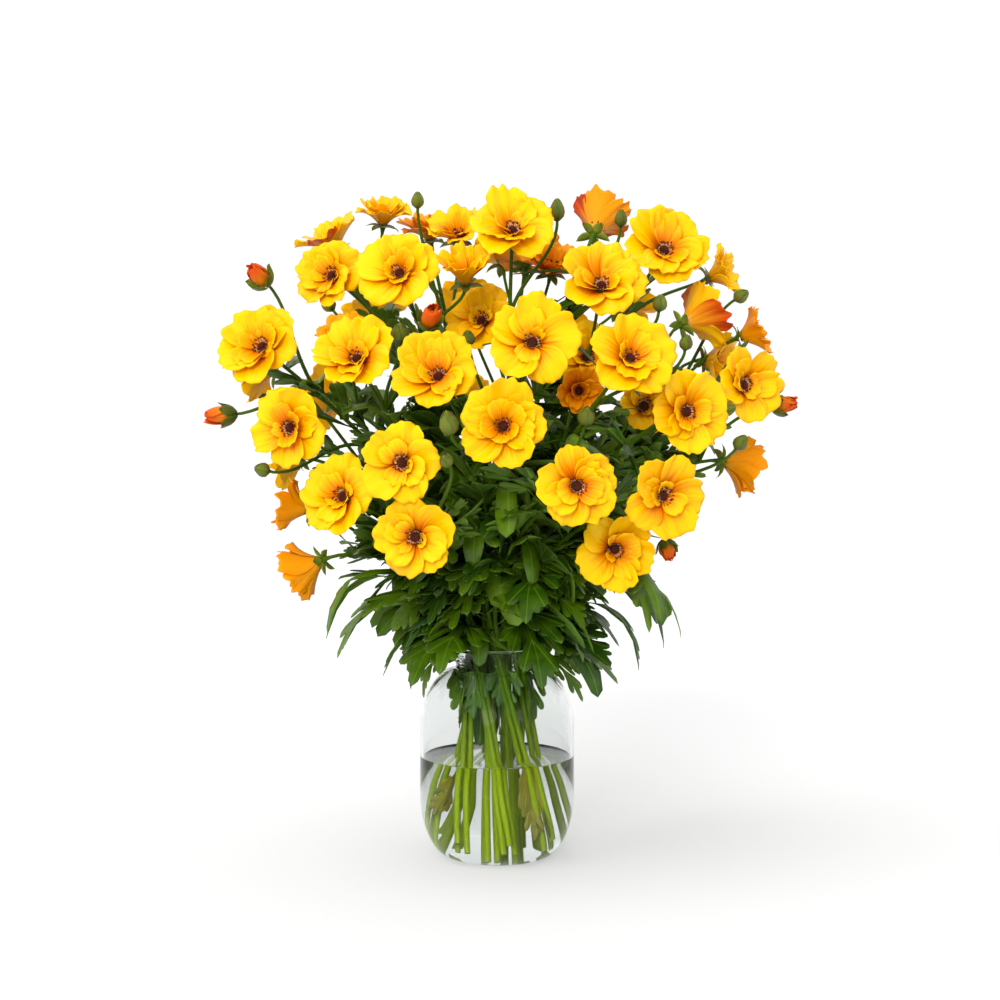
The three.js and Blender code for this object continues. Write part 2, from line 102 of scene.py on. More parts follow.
SPRAYS = [
    Spray("front", 0, SHEAF_RING, [
        Bloom(5, -178, 386, 0, 8, 78, 0.8),
        Bloom(62, -178, 339, 10, 4, 72, 0.95),
        Bloom(28, -145, 452, 4, 14, 80, 0.75),
    ], [
        Shoot(0, 3, Bloom(-46, -148, 423, -10, 28, 78, 0.75)),
        Shoot(2, 3, Bud(-23, -112, 452, -10, 60, 11, 14)),
        Shoot(0, 4, Bud(-36, -193, 381, -20, 60, 15, 22)),
        Shoot(1, 3, Bud(71, -150, 388, 10, 50, 14, 18)),
    ]),
    Spray("front_left", -48, SHEAF_RING, [
        Bloom(-64, -163, 298, -12, 0, 72, 0.95),
        Bloom(-124, -116, 326, -26, 12, 74, 0.75),
        Bloom(-114, -106, 437, -14, 34, 78, 0.7),
    ], [
        Shoot(0, 3, Bloom(-74, -164, 357, -14, 4, 72, 0.85)),
        Shoot(1, 3, Bloom(-169, -98, 383, -22, 5, 74, 0.9)),
        Shoot(0, 4, Bud(-38, -197, 358, -20, 30, 11, 13)),
        Shoot(2, 4, Bud(-80, -96, 455, 0, 60, 15, 18)),
    ]),
    Spray("left", -98, SHEAF_RING, [
        Bloom(-150, -45, 268, -110, -25, 56, 0.35),
        Bloom(-196, -62, 448, -22, 26, 80, 0.85),
        Bloom(-178, 66, 352, -112, 4, 70, 0.85),
    ], [
        Shoot(0, 3, Bloom(-160, -52, 312, -95, 12, 56, 0.45)),
        Shoot(1, 3, Bloom(-128, -62, 450, -20, 50, 50, 0.4)),
        Shoot(2, 3, Bloom(-200, 50, 430, -105, 15, 72, 0.8)),
        Shoot(1, 4, Bud(-222, -50, 394, -80, -6, 18, 26)),
        Shoot(1, 4, Bud(-196, -40, 504, -40, 35, 22, 24)),
        Shoot(1, 3, Bud(-192, -74, 346, -70, 14, 12, 14)),
    ]),
    Spray("rear_left", -150, SHEAF_RING, [
        Bloom(-92, 156, 322, -155, 2, 72, 0.9),
        Bloom(-152, 122, 404, -135, 14, 74, 0.8),
        Bloom(-104, 118, 482, -140, 38, 74, 0.75),
    ], [
        Shoot(1, 3, Bloom(-140, 118, 318, -130, -8, 62, 0.6)),
        Shoot(0, 3, Bloom(-36, 172, 398, -172, 10, 76, 0.85)),
        Shoot(2, 4, Bud(-150, 80, 486, -110, 50, 13, 17)),
    ]),
    Spray("rear_right", 150, SHEAF_RING, [
        Bloom(48, 168, 334, 168, 2, 74, 0.9),
        Bloom(64, 146, 452, 158, 26, 76, 0.8),
        Bloom(138, 132, 392, 136, 10, 74, 0.85),
    ], [
        Shoot(0, 3, Bloom(-26, 140, 482, 175, 38, 70, 0.7)),
        Shoot(2, 3, Bloom(128, 132, 310, 142, -8, 60, 0.6)),
        Shoot(1, 3, Bloom(6, 92, 528, 175, 62, 70, 0.8)),
    ]),
    Spray("right", 98, SHEAF_RING, [
        Bloom(196, -18, 352, 108, -12, 60, 0.4),
        Bloom(205, -60, 418, 34, 6, 74, 0.75),
        Bloom(200, 76, 424, 108, 12, 72, 0.8),
    ], [
        Shoot(1, 3, Bloom(158, -44, 470, 120, 20, 66, 0.4)),
        Shoot(2, 3, Bloom(214, 16, 460, 84, 20, 52, 0.45)),
        Shoot(2, 4, Bud(206, -20, 492, 60, 30, 12, 15)),
        Shoot(0, 4, Bud(238, -12, 400, 75, 8, 20, 24)),
        Shoot(0, 3, Bud(198, -104, 366, 60, 50, 12, 15)),
    ]),
    Spray("front_right", 48, SHEAF_RING, [
        Bloom(132, -138, 330, 24, -4, 76, 0.9),
        Bloom(153, -116, 397, 20, 2, 76, 0.8),
        Bloom(106, -136, 438, 14, 24, 80, 0.75),
    ], [
        Shoot(0, 3, Bloom(96, -112, 285, 8, -8, 72, 0.7)),
        Shoot(1, 3, Bloom(124, -52, 400, 10, 6, 50, 0.6)),
        Shoot(2, 4, Bud(156, -98, 448, 20, 70, 11, 14)),
        Shoot(0, 3, Bud(140, -92, 290, 30, -60, 16, 20)),
        Shoot(1, 4, Bud(184, -108, 398, 60, 10, 12, 15)),
    ]),
    Spray("top_left", -80, INNER_RING, [
        Bloom(-81, -68, 510, -8, 22, 78, 0.75),
        Bloom(-142, 14, 536, -60, 62, 66, 0.6),
        Bloom(-60, 62, 548, -20, 72, 60, 0.6),
    ], [
        Shoot(0, 3, Bloom(-139, -30, 510, -26, 18, 70, 0.8)),
        Shoot(0, 4, Bloom(-27, -52, 504, -6, 58, 52, 0.3)),
        Shoot(1, 4, Bloom(-102, 38, 560, 15, 72, 56, 0.6)),
        Shoot(2, 3, Bud(-70, 18, 574, 0, 80, 11, 15)),
        Shoot(0, 3, Bud(-58, -108, 466, 20, 40, 19, 24)),
    ]),
    Spray("top_right", 80, INNER_RING, [
        Bloom(13, -44, 546, 2, 38, 82, 0.85),
        Bloom(141, -42, 530, 14, 28, 80, 0.85),
        Bloom(86, 30, 552, 160, 36, 56, 0.15),
    ], [
        Shoot(1, 3, Bloom(87, -76, 498, 5, 34, 78, 0.8)),
        Shoot(0, 3, Bloom(24, 24, 522, 178, 50, 66, 0.45)),
        Shoot(1, 4, Bloom(186, 14, 512, 70, 22, 54, 0.4)),
        Shoot(2, 3, Bloom(112, 96, 488, 140, 38, 70, 0.8)),
        Shoot(0, 4, Bud(52, -20, 560, 0, 85, 13, 20)),
        Shoot(2, 4, Bud(108, -2, 556, 10, 82, 11, 16)),
        Shoot(1, 4, Bud(134, -100, 480, 20, 70, 12, 15)),
    ]),
]
print("sprays:", len(SPRAYS), "- side shoots:", sum(len(spray.shoots) for spray in SPRAYS))

# %% [markdown]
# In the jar the stems are straight and lean round each other as they do in a hand-tied spiral. Above the
# neck each one is a Bezier curve that ends straight behind its bloom. The same sums as in the CAD source
# give the same routes, so stalks meet their blooms. The points are spaced evenly along the curve, because
# a Bezier's own steps bunch up where it bends.

# %% The stems' routes
NECK_Z = 184
CLUSTER_RADIUS = 2.6
TWIST_PER_MM = 0.0106
STEM_RADIUS = 2.6
STALK_RADIUS = 1.5
FLOOR = 5
CORNER_TOP = 57
FOOT_RADIUS = 40
BODY_RADIUS = 68.5
WALL = 3
GAP = 0.45
FOOT_CLEARANCE = 2.5
ROUTE_STEPS = 200
LEAVING_SHARE = 0.42
ARRIVING_SHARE = 0.34
STRAIGHT_STEM = 46
STRAIGHT_STALK = 32
JOINT_STRETCHES = 5


def unit(vector):
    """A vector's direction, with a length of 1."""
    return vector / np.linalg.norm(vector)


def looking(yaw, pitch):
    """The unit vector that looks yaw degrees to the viewer's right and pitch degrees up."""
    yaw, pitch = math.radians(yaw), math.radians(pitch)
    return np.array([math.sin(yaw) * math.cos(pitch), -math.cos(yaw) * math.cos(pitch), math.sin(pitch)])


def on_route(route, t):
    """Points on a cubic Bezier curve, one for each t."""
    t = np.asarray(t)[:, None]
    a, b, c, d = route
    return (1 - t) ** 3 * a + 3 * (1 - t) ** 2 * t * b + 3 * (1 - t) * t ** 2 * c + t ** 3 * d


def walked_along(path):
    """How far along a path each of its points is."""
    return np.concatenate([[0], np.cumsum(np.linalg.norm(np.diff(path, axis=0), axis=1))])


def spaced(route, count):
    """The ends of so many stretches of equal length along a Bezier curve."""
    steps = np.linspace(0, 1, ROUTE_STEPS + 1)
    walked = walked_along(on_route(route, steps))
    return on_route(route, np.interp(np.linspace(0, walked[-1], count + 1), walked, steps))


def route_between(start, leaving, end, arriving, straight):
    """A Bezier curve that leaves and arrives in given directions, nearly straight over its last stretch."""
    reach = np.linalg.norm(end - start)
    last_stretch = min(reach * ARRIVING_SHARE, straight)
    return [start, start + leaving * reach * LEAVING_SHARE, end - arriving * last_stretch, end]


def sheaf_point(neck, z):
    """Where a stem that crosses the neck at one point is at another height."""
    turn = (NECK_Z - z) * TWIST_PER_MM
    return np.array([neck[0] - neck[1] * turn, neck[1] + neck[0] * turn, z])


def cavity_radius(z):
    """The jar's inner radius in its rounded lower corner or its straight wall."""
    if z >= CORNER_TOP:
        return BODY_RADIUS - WALL
    share = (z - FLOOR) / (CORNER_TOP - FLOOR)
    return FOOT_RADIUS - WALL + (BODY_RADIUS - FOOT_RADIUS) * math.sqrt(max(0, 1 - (1 - share) ** 2))


def cut_end(neck):
    """The cut end of a stem: as low as the rounded corner lets it stand."""
    for z in range(FLOOR + 3, CORNER_TOP):
        at = sheaf_point(neck, z)
        if math.hypot(at[0], at[1]) + STEM_RADIUS + FOOT_CLEARANCE < cavity_radius(z - 2):
            return at
    return sheaf_point(neck, CORNER_TOP)


def tip_base(tip):
    """Where a stalk ends: just short of its bloom or bud."""
    return np.array([tip.x, tip.y, tip.z]) - looking(tip.yaw, tip.pitch) * GAP


def leader_routes(spray):
    """The three stems of a spray, each as its foot, its Bezier curve above the neck and its six joints."""
    stems = []
    middle = math.radians(spray.turn - 90)
    for k, tip in enumerate(spray.leaders):
        around = middle + math.radians(120 * k)
        neck = np.array([
            spray.ring * math.cos(middle) + CLUSTER_RADIUS * math.cos(around),
            spray.ring * math.sin(middle) + CLUSTER_RADIUS * math.sin(around),
            NECK_Z,
        ])
        foot = cut_end(neck)
        route = route_between(
            neck, unit(neck - foot), tip_base(tip), looking(tip.yaw, tip.pitch), STRAIGHT_STEM)
        stems.append((foot, route, spaced(route, JOINT_STRETCHES)))
    return stems


def shoot_route(stems, shoot):
    """The Bezier curve of a side shoot, from its joint on a stem to its bloom or bud."""
    joints = stems[shoot.stem][2]
    start, end = joints[shoot.joint], tip_base(shoot.tip)
    onward = unit(start - joints[shoot.joint - 1])
    leaving = unit(unit(end - start) + onward)
    return route_between(start, leaving, end, looking(shoot.tip.yaw, shoot.tip.pitch), STRAIGHT_STALK)


LEADERS = {spray.name: leader_routes(spray) for spray in SPRAYS}
print("stems:", sum(len(stems) for stems in LEADERS.values()))

# %% [markdown]
# Colours are written as sRGB hex, as a colour picker shows them, but shaders calculate with linear light.
# One function turns the first into the second. A second one adds a shader node with its settings, typed
# values and links, so that a finish reads as a short list. A Mix node has sockets for numbers, vectors and
# colours in one row, so the ones for colours are named here by their places in it.

# %% Colours and nodes
FACTOR, COLOUR_A, COLOUR_B, MIXED = 0, 6, 7, 2


def linear(hex_colour):
    """Linear red, green, blue and alpha of an sRGB hex colour."""
    parts = [int(hex_colour[i:i + 2], 16) / 255 for i in (1, 3, 5)]
    return [p / 12.92 if p <= 0.04045 else ((p + 0.055) / 1.055) ** 2.4 for p in parts] + [1.0]


def add_node(tree, kind, values=None, links=None, **settings):
    """Adds a node: settings on the node, values typed into its sockets, and links into its sockets."""
    node = tree.nodes.new("ShaderNode" + kind)
    for name, value in settings.items():
        setattr(node, name, value)
    for socket, value in (values or {}).items():
        node.inputs[socket].default_value = value
    for socket, source in (links or {}).items():
        tree.links.new(source, node.inputs[socket])
    return node


def new_finish(name):
    """An empty material and its node tree."""
    finish = bpy.data.materials.new(name)
    finish.use_nodes = True
    finish.node_tree.nodes.clear()
    return finish, finish.node_tree


print("golden yellow in linear light:", [round(c, 3) for c in linear("#FFC800")[:3]])

# %% [markdown]
# A butterfly ranunculus petal is a thin waxy skin. It shines softly, and some of the light from behind comes
# through. The colour runs along the petal: dark at the claw, an orange flame in fine rays, then clear golden
# yellow. The mesh carries two sets of numbers for this: the UV map holds how far across and how far along a
# petal a point is, and the attribute "tone" holds how strong that petal's flame is, how amber it has aged
# and a random number. The back of a petal is duller. On a few blooms it is blushed, red at the edge and
# pale at the claw, and so are the folded petals of a bud. A petal is about 36 mm wide, so 18 rays stand
# 2 mm apart and 58 creases 0.6 mm.

# %% Petal finish
RAYS_ACROSS = 18
CREASES_ACROSS = 58
WAX_IOR = 1.45
PETAL_LETS_THROUGH = 0.3


def petal_finish(name, clear, aged, flame, throat, flame_length, roughness):
    """A petal's skin: clear colour at the tip, flame and throat towards the claw."""
    finish, tree = new_finish(name)
    place = add_node(tree, "UVMap", uv_map="run")
    across_along = add_node(tree, "SeparateXYZ", links={0: place.outputs[0]})
    tone = add_node(tree, "Attribute", attribute_name="tone")
    strength_age_draw = add_node(tree, "SeparateXYZ", links={0: tone.outputs["Vector"]})

    # Rays that run along the petal. The random number gives each petal rays of its own.
    ray_place = add_node(tree, "CombineXYZ", links={
        0: across_along.outputs[0], 1: across_along.outputs[1], 2: strength_age_draw.outputs[2]})
    stretched = add_node(tree, "VectorMath", operation="MULTIPLY",
                         links={0: ray_place.outputs[0]}, values={1: (RAYS_ACROSS, 1.4, 40)})
    rays = add_node(tree, "TexNoise", values={"Scale": 1.0, "Detail": 3.0},
                    links={"Vector": stretched.outputs[0]})

    # The flame and the throat reach further where a ray is bright.
    reach = add_node(tree, "Math", operation="MULTIPLY_ADD", links={0: rays.outputs[0]},
                     values={1: 0.9, 2: -0.45})
    reached = add_node(tree, "Math", operation="ADD",
                       links={0: across_along.outputs[1], 1: reach.outputs[0]})
    longest = add_node(tree, "Math", operation="MULTIPLY", links={0: strength_age_draw.outputs[0]},
                       values={1: flame_length})
    flame_mask = add_node(tree, "MapRange", interpolation_type="SMOOTHSTEP",
                          links={"Value": reached.outputs[0], "From Max": longest.outputs[0]},
                          values={"From Min": -0.02, "To Min": 1.0, "To Max": 0.0})
    throat_mask = add_node(tree, "MapRange", interpolation_type="SMOOTHSTEP",
                           links={"Value": reached.outputs[0]},
                           values={"From Min": 0.0, "From Max": 0.17, "To Min": 0.9, "To Max": 0.0})
    skin = add_node(tree, "Mix", data_type="RGBA", links={FACTOR: strength_age_draw.outputs[1]},
                    values={COLOUR_A: linear(clear), COLOUR_B: linear(aged)})

    # Hair-fine creases, three to each ray, that fade out before the petal's edge.
    finer = add_node(tree, "VectorMath", operation="MULTIPLY", links={0: ray_place.outputs[0]},
                     values={1: (CREASES_ACROSS, 1.1, 25)})
    fine_rays = add_node(tree, "TexNoise", values={"Scale": 1.0, "Detail": 2.0},
                         links={"Vector": finer.outputs[0]})
    crease_line = add_node(tree, "MapRange", links={"Value": fine_rays.outputs[0]},
                           values={"From Min": 0.6, "From Max": 0.72, "To Max": 0.7})
    fading = add_node(tree, "MapRange", links={"Value": across_along.outputs[1]},
                      values={"From Min": 0.15, "From Max": 0.85, "To Min": 1.0, "To Max": 0.0})
    crease_mask = add_node(tree, "Math", operation="MULTIPLY",
                           links={0: crease_line.outputs[0], 1: fading.outputs[0]})

    # The three masks lay their colours over the skin, one after the other.
    colour = skin.outputs[MIXED]
    for mask, over in [(flame_mask, flame), (throat_mask, throat), (crease_mask, flame)]:
        layer = add_node(tree, "Mix", data_type="RGBA", links={FACTOR: mask.outputs[0], COLOUR_A: colour},
                         values={COLOUR_B: linear(over)})
        colour = layer.outputs[MIXED]
    pleats = add_node(tree, "Bump", values={"Strength": 0.6, "Distance": 1.0 * MM},
                      links={"Height": rays.outputs[0]})
    surface = add_node(tree, "BsdfPrincipled", links={"Base Color": colour, "Normal": pleats.outputs[0]},
                       values={"Roughness": roughness, "IOR": WAX_IOR, "Specular IOR Level": 0.28})
    through = add_node(tree, "BsdfTranslucent", links={"Color": colour, "Normal": pleats.outputs[0]})
    both = add_node(tree, "MixShader", values={FACTOR: PETAL_LETS_THROUGH},
                    links={1: surface.outputs[0], 2: through.outputs[0]})
    add_node(tree, "OutputMaterial", links={"Surface": both.outputs[0]})
    return finish


petal_face = petal_finish("waxy_petal_face", "#FFD600", "#FAA000", "#EA6200", "#7A2002", 0.76, 0.3)
petal_back = petal_finish("waxy_petal_back", "#FFD000", "#F29A00", "#F4A000", "#D8B83A", 0.8, 0.42)
blushed_back = petal_finish("blushed_petal_back", "#C83A04", "#B83004", "#F8AC14", "#F6DE96", 1.35, 0.42)
bud_petal = petal_finish("folded_bud_petal", "#D8440A", "#E4600A", "#F8A80C", "#C8B83A", 1.15, 0.4)
print("petal finishes:", petal_face.name, petal_back.name, blushed_back.name, bud_petal.name)

# %% [markdown]
# The heart of a ranunculus is a cone of small seed vessels, nearly black where it is damp and red-brown on
# its ridges, with a ring of stamens: pale threads with dark dusty heads. All are matt, and their colour
# changes from grain to grain. A noise pattern of 1 to 2 mm stands for that.


# %% Seed and stamen finishes
def grainy_finish(name, dark, light, grain_mm, roughness):
    """A dull skin that changes between two colours over a given distance."""
    finish, tree = new_finish(name)
    place = add_node(tree, "TexCoord")
    grain = add_node(tree, "TexNoise", values={"Scale": 1 / (grain_mm * MM), "Detail": 2.0},
                     links={"Vector": place.outputs["Object"]})
    colour = add_node(tree, "Mix", data_type="RGBA", links={FACTOR: grain.outputs[0]},
                      values={COLOUR_A: linear(dark), COLOUR_B: linear(light)})
    body = add_node(tree, "BsdfPrincipled", values={"Roughness": roughness},
                    links={"Base Color": colour.outputs[MIXED]})
    add_node(tree, "OutputMaterial", links={"Surface": body.outputs[0]})
    return finish


seed_skin = grainy_finish("seed_vessel_skin", "#1E0804", "#6E2410", 1.2, 0.55)
stamen_skin = grainy_finish("stamen_dust", "#241006", "#6A3A0C", 1.5, 0.7)
thread_skin = grainy_finish("stamen_thread_skin", "#C88A3C", "#FFF0C8", 2.0, 0.6)
print("heart finishes:", seed_skin.name, stamen_skin.name, thread_skin.name)

# %% [markdown]
# A ranunculus leaf has a dark waxy upper face with paler sunken veins, and a dull paler under face. The UV
# map of a leaf holds its distance from the nearest vein in units of 10 mm and how far along the leaf a
# point is, so the veins follow the fingers of the leaf. A leaf that has lain in the water is yellow-brown.
# Stems are the same waxy skin, ribbed lengthwise, lime green low in the jar and dark green higher up. The
# dark green reaches down to 70 mm, which inside the jar is painted shade under the leaves. Their cut ends
# have browned.

# %% Green finishes
VEIN_UNIT_MM = 10
MOTTLE_MM = 14
PUCKER_MM = 3
RIB_MM = 2
STREAK_MM = 30
LEAF_LETS_THROUGH = 0.12


def leaf_finish(name, deep, fresh, vein, roughness, vein_width_mm):
    """A leaf's skin: mottled between two greens, with veins, and finely puckered."""
    finish, tree = new_finish(name)
    place = add_node(tree, "UVMap", uv_map="run")
    from_vein = add_node(tree, "SeparateXYZ", links={0: place.outputs[0]})
    tone = add_node(tree, "Attribute", attribute_name="tone")
    age = add_node(tree, "SeparateXYZ", links={0: tone.outputs["Vector"]})
    where = add_node(tree, "TexCoord")
    mottle = add_node(tree, "TexNoise", values={"Scale": 1 / (MOTTLE_MM * MM), "Detail": 4.0},
                      links={"Vector": where.outputs["Object"]})
    shade = add_node(tree, "Math", operation="MULTIPLY_ADD", use_clamp=True,
                     links={0: mottle.outputs[0], 2: age.outputs[0]}, values={1: 0.8})
    skin = add_node(tree, "Mix", data_type="RGBA", links={FACTOR: shade.outputs[0]},
                    values={COLOUR_A: linear(deep), COLOUR_B: linear(fresh)})
    vein_mask = add_node(tree, "MapRange", interpolation_type="SMOOTHSTEP",
                         links={"Value": from_vein.outputs[0]},
                         values={"From Min": 0.0, "From Max": vein_width_mm / VEIN_UNIT_MM,
                                 "To Min": 0.55, "To Max": 0.0})
    veined = add_node(tree, "Mix", data_type="RGBA",
                      links={FACTOR: vein_mask.outputs[0], COLOUR_A: skin.outputs[MIXED]},
                      values={COLOUR_B: linear(vein)})
    pucker = add_node(tree, "TexNoise", values={"Scale": 1 / (PUCKER_MM * MM), "Detail": 2.0},
                      links={"Vector": where.outputs["Object"]})
    bumpy = add_node(tree, "Bump", values={"Strength": 0.3, "Distance": 0.8 * MM},
                     links={"Height": pucker.outputs[0]})
    surface = add_node(tree, "BsdfPrincipled", values={"Roughness": roughness, "IOR": WAX_IOR},
                       links={"Base Color": veined.outputs[MIXED], "Normal": bumpy.outputs[0]})
    through = add_node(tree, "BsdfTranslucent", links={"Color": veined.outputs[MIXED]})
    both = add_node(tree, "MixShader", values={FACTOR: LEAF_LETS_THROUGH},
                    links={1: surface.outputs[0], 2: through.outputs[0]})
    add_node(tree, "OutputMaterial", links={"Surface": both.outputs[0]})
    return finish


def stem_finish_with_painted_shade(name, low, high, shade_start_mm, shade_full_mm):
    """A ribbed stem skin that darkens from one colour to another between two heights, as painted shade."""
    finish, tree = new_finish(name)
    where = add_node(tree, "TexCoord")
    height = add_node(tree, "SeparateXYZ", links={0: where.outputs["Object"]})
    # Painted shade: the stem darkens with height between the two heights, standing in for the shade under the
    # leaves.
    up = add_node(tree, "MapRange", links={"Value": height.outputs[2]},
                  values={"From Min": shade_start_mm * MM, "From Max": shade_full_mm * MM})
    streak_place = add_node(tree, "VectorMath", operation="MULTIPLY", links={0: where.outputs["Object"]},
                            values={1: (1 / (RIB_MM * MM), 1 / (RIB_MM * MM), 1 / (STREAK_MM * MM))})
    streaks = add_node(tree, "TexNoise", values={"Scale": 1.0, "Detail": 2.0},
                       links={"Vector": streak_place.outputs[0]})
    streaks_and_painted_shade = add_node(tree, "Math", operation="MULTIPLY_ADD", use_clamp=True,
                     links={0: streaks.outputs[0], 2: up.outputs[0]}, values={1: 0.35})
    skin = add_node(tree, "Mix", data_type="RGBA", links={FACTOR: streaks_and_painted_shade.outputs[0]},
                    values={COLOUR_A: linear(low), COLOUR_B: linear(high)})
    ribs = add_node(tree, "Bump", values={"Strength": 0.5, "Distance": 0.5 * MM},
                    links={"Height": streaks.outputs[0]})
    surface = add_node(tree, "BsdfPrincipled",
                       values={"Roughness": 0.5, "IOR": WAX_IOR, "Specular IOR Level": 0.15},
                       links={"Base Color": skin.outputs[MIXED], "Normal": ribs.outputs[0]})
    add_node(tree, "OutputMaterial", links={"Surface": surface.outputs[0]})
    return finish


leaf_face = leaf_finish("waxy_leaf_face", "#264802", "#648408", "#76982A", 0.36, 0.5)
leaf_back = leaf_finish("dull_leaf_back", "#3A5E0E", "#6C9022", "#88A83C", 0.6, 0.6)
drowned_leaf = leaf_finish("drowned_brown_leaf", "#5A5A04", "#8E8A10", "#9A7A18", 0.5, 0.5)
sepal_face = leaf_finish("bud_sepal_face", "#3E4E0A", "#6E7C18", "#8A5014", 0.45, 0.5)
sepal_back = leaf_finish("bud_sepal_back", "#5A6E14", "#8A9A2C", "#8A9A2C", 0.6, 0.5)
# Lime low in the jar and dark green from 160 mm up. The darkening between 70 and 160 mm is painted shade
# under the leaves.
stem_green_and_shade = stem_finish_with_painted_shade("ribbed_stem_and_painted_shade", "#768A00", "#3E5A06", 70, 160)
cut_pith = grainy_finish("browned_cut_pith", "#6E5A1E", "#B0A050", 1.0, 0.7)
print("green finishes:", leaf_face.name, sepal_face.name, stem_green_and_shade.name)

# %% [markdown]
# The jar is pressed soda-lime glass, clear with a trace of green, and the water fills its lower half. Real
# glass lets lamplight through to what stands in it, but a path tracer's shadow rays stop at any glass. Each
# finish therefore becomes Transparent for shadow rays only, which lights the stems as in a real jar. The
# grey specular tint dims the mirror image of the white studio, which would veil the stems.


# %% Glass and water finishes
def clear_finish(name, tint, ior, shadow_tint):
    """A clear finish with a faint tint, and a tint for the light that passes on to what lies behind."""
    finish, tree = new_finish(name)
    surface = add_node(tree, "BsdfPrincipled", values={
        "Base Color": linear(tint), "Roughness": 0.0, "IOR": ior, "Transmission Weight": 1.0,
        "Specular IOR Level": 0.2, "Specular Tint": linear("#5C5C5C")})
    let_through = add_node(tree, "BsdfTransparent", values={"Color": linear(shadow_tint)})
    ray = add_node(tree, "LightPath")
    both = add_node(tree, "MixShader", links={
        FACTOR: ray.outputs["Is Shadow Ray"], 1: surface.outputs[0], 2: let_through.outputs[0]})
    add_node(tree, "OutputMaterial", links={"Surface": both.outputs[0]})
    return finish


jar_glass = clear_finish("pressed_soda_lime_glass", "#EFF1F0", 1.5, "#FBFBFB")
jar_water = clear_finish("still_water", "#F8FAFA", 1.33, "#FCFDFD")
print("clear finishes:", jar_glass.name, jar_water.name)

# %% [markdown]
# Every piece is gathered from many small sheets and rods before it becomes one Blender object. A Gathering
# keeps their points, faces, UVs, tones and finish numbers. A thin sheet gets a second skin a given depth
# behind the first and an edge between them, as Blender's Solidify modifier would give it. It is done here
# by hand because the same object also holds solid pieces that must not be thickened.


# %% Gathering sheets and rods
class Gathering:
    """The points and faces of one piece while it is made."""

    def __init__(self):
        self.points, self.uvs, self.tones, self.faces, self.finishes = [], [], [], [], []
        self.count = 0

    def add(self, points, faces, uvs, tone=(0, 0, 0), finish=0):
        """Adds points, and faces that count them from 0, in one finish."""
        self.points.append(points)
        self.uvs.append(uvs)
        self.tones.append(np.tile(tone, (len(points), 1)))
        self.faces += [[self.count + k for k in face] for face in faces]
        self.finishes += [finish] * len(faces)
        self.count += len(points)

    def add_sheet(self, points, faces, rim, uvs, tone, finish, thickness):
        """Adds a thin sheet: its points in one finish, and a second skin behind them in the next one."""
        back = points - point_normals(points, faces) * thickness
        count = len(points)
        self.add(np.concatenate([points, back]), faces, np.concatenate([uvs, uvs]), tone, finish)
        first = self.count - 2 * count
        self.faces += [[first + count + k for k in reversed(face)] for face in faces]
        self.finishes += [finish + 1] * len(faces)
        self.faces += [[first + b, first + a, first + count + a, first + count + b] for a, b in rim]
        self.finishes += [finish] * len(rim)

    def make(self, name, finishes, slot):
        """Turns what was gathered into one Blender object that rides on the frame."""
        mesh = bpy.data.meshes.new(name)
        mesh.from_pydata((np.concatenate(self.points) * MM).tolist(), [], self.faces)
        corners = np.empty(len(mesh.loops), int)
        mesh.loops.foreach_get("vertex_index", corners)
        mesh.uv_layers.new(name="run").uv.foreach_set("vector", np.concatenate(self.uvs)[corners].ravel())
        tone = mesh.attributes.new("tone", "FLOAT_VECTOR", "POINT")
        tone.data.foreach_set("vector", np.concatenate(self.tones).ravel())
        for finish in finishes:
            mesh.materials.append(finish)
        mesh.polygons.foreach_set("material_index", self.finishes)
        mesh.polygons.foreach_set("use_smooth", [True] * len(mesh.polygons))
        piece = bpy.data.objects.new(name, mesh)
        bpy.context.collection.objects.link(piece)
        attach(piece, "root")
        return piece


def point_normals(points, faces):
    """The unit normal at each point: the mean of the faces that meet there."""
    normals = np.zeros_like(points)
    for size in {len(face) for face in faces}:
        corners = np.array([face for face in faces if len(face) == size])
        first, second, last = (points[corners[:, k]] for k in (0, 1, -1))
        flat = np.cross(second - first, last - first)
        for k in range(size):
            np.add.at(normals, corners[:, k], flat)
    return normals / np.maximum(np.linalg.norm(normals, axis=1, keepdims=True), 1e-9)


def net_faces(rows, columns, closed=False):
    """The faces of a net of points kept row by row. A closed one joins each row's end to its start."""
    faces = []
    for row in range(0, (rows - 1) * columns, columns):
        for c in range(columns if closed else columns - 1):
            beside = (c + 1) % columns
            faces.append([row + c, row + beside, row + columns + beside, row + columns + c])
    return faces


def rim_edges(faces):
    """The edges that only one face uses, in that face's direction."""
    edges = {(face[k - 1], face[k]) for face in faces for k in range(len(face))}
    return sorted(edge for edge in edges if edge[::-1] not in edges)


def turn_to(axis):
    """The shortest turn that takes straight up to an axis, as a matrix for rows of points."""
    return np.array(Vector(UP).rotation_difference(Vector(axis)).to_matrix()).T


print("a net of 3 by 3 points has", len(net_faces(3, 3)), "faces")

# %% [markdown]
# The jar is turned round its middle like a pot on a wheel: flat foot, rounded lower corner, straight wall,
# rounded shoulder, short neck with a moulded bead, and a flared rim melted round. 128 steps round make it
# look smooth where the CAD solid has 24 sides.

# %% The jar
SHOULDER_FOOT = 116
SHOULDER_TOP = 168
NECK_RADIUS = 36.5
RIM_RADIUS = 41.5
RIM_HEIGHT = 188
TURNING_STEPS = 128
CORNER_STEPS = 14
SHOULDER_STEPS = 16

# Each pair is a step outwards from the neck's or the rim's radius, and a step upwards from the top of the
# shoulder or the rim's height.
NECK_BEAD = [[0, 3], [0.2, 5], [1.6, 7], [1.7, 9], [0.4, 11]]
MELTED_EDGE = [[-1.2, -3.6], [0, -1.8], [-0.2, -0.5], [-1.2, 0], [-2.4, -0.7]]
INNER_FLARE = [[2.6, -5], [1.2, -9]]


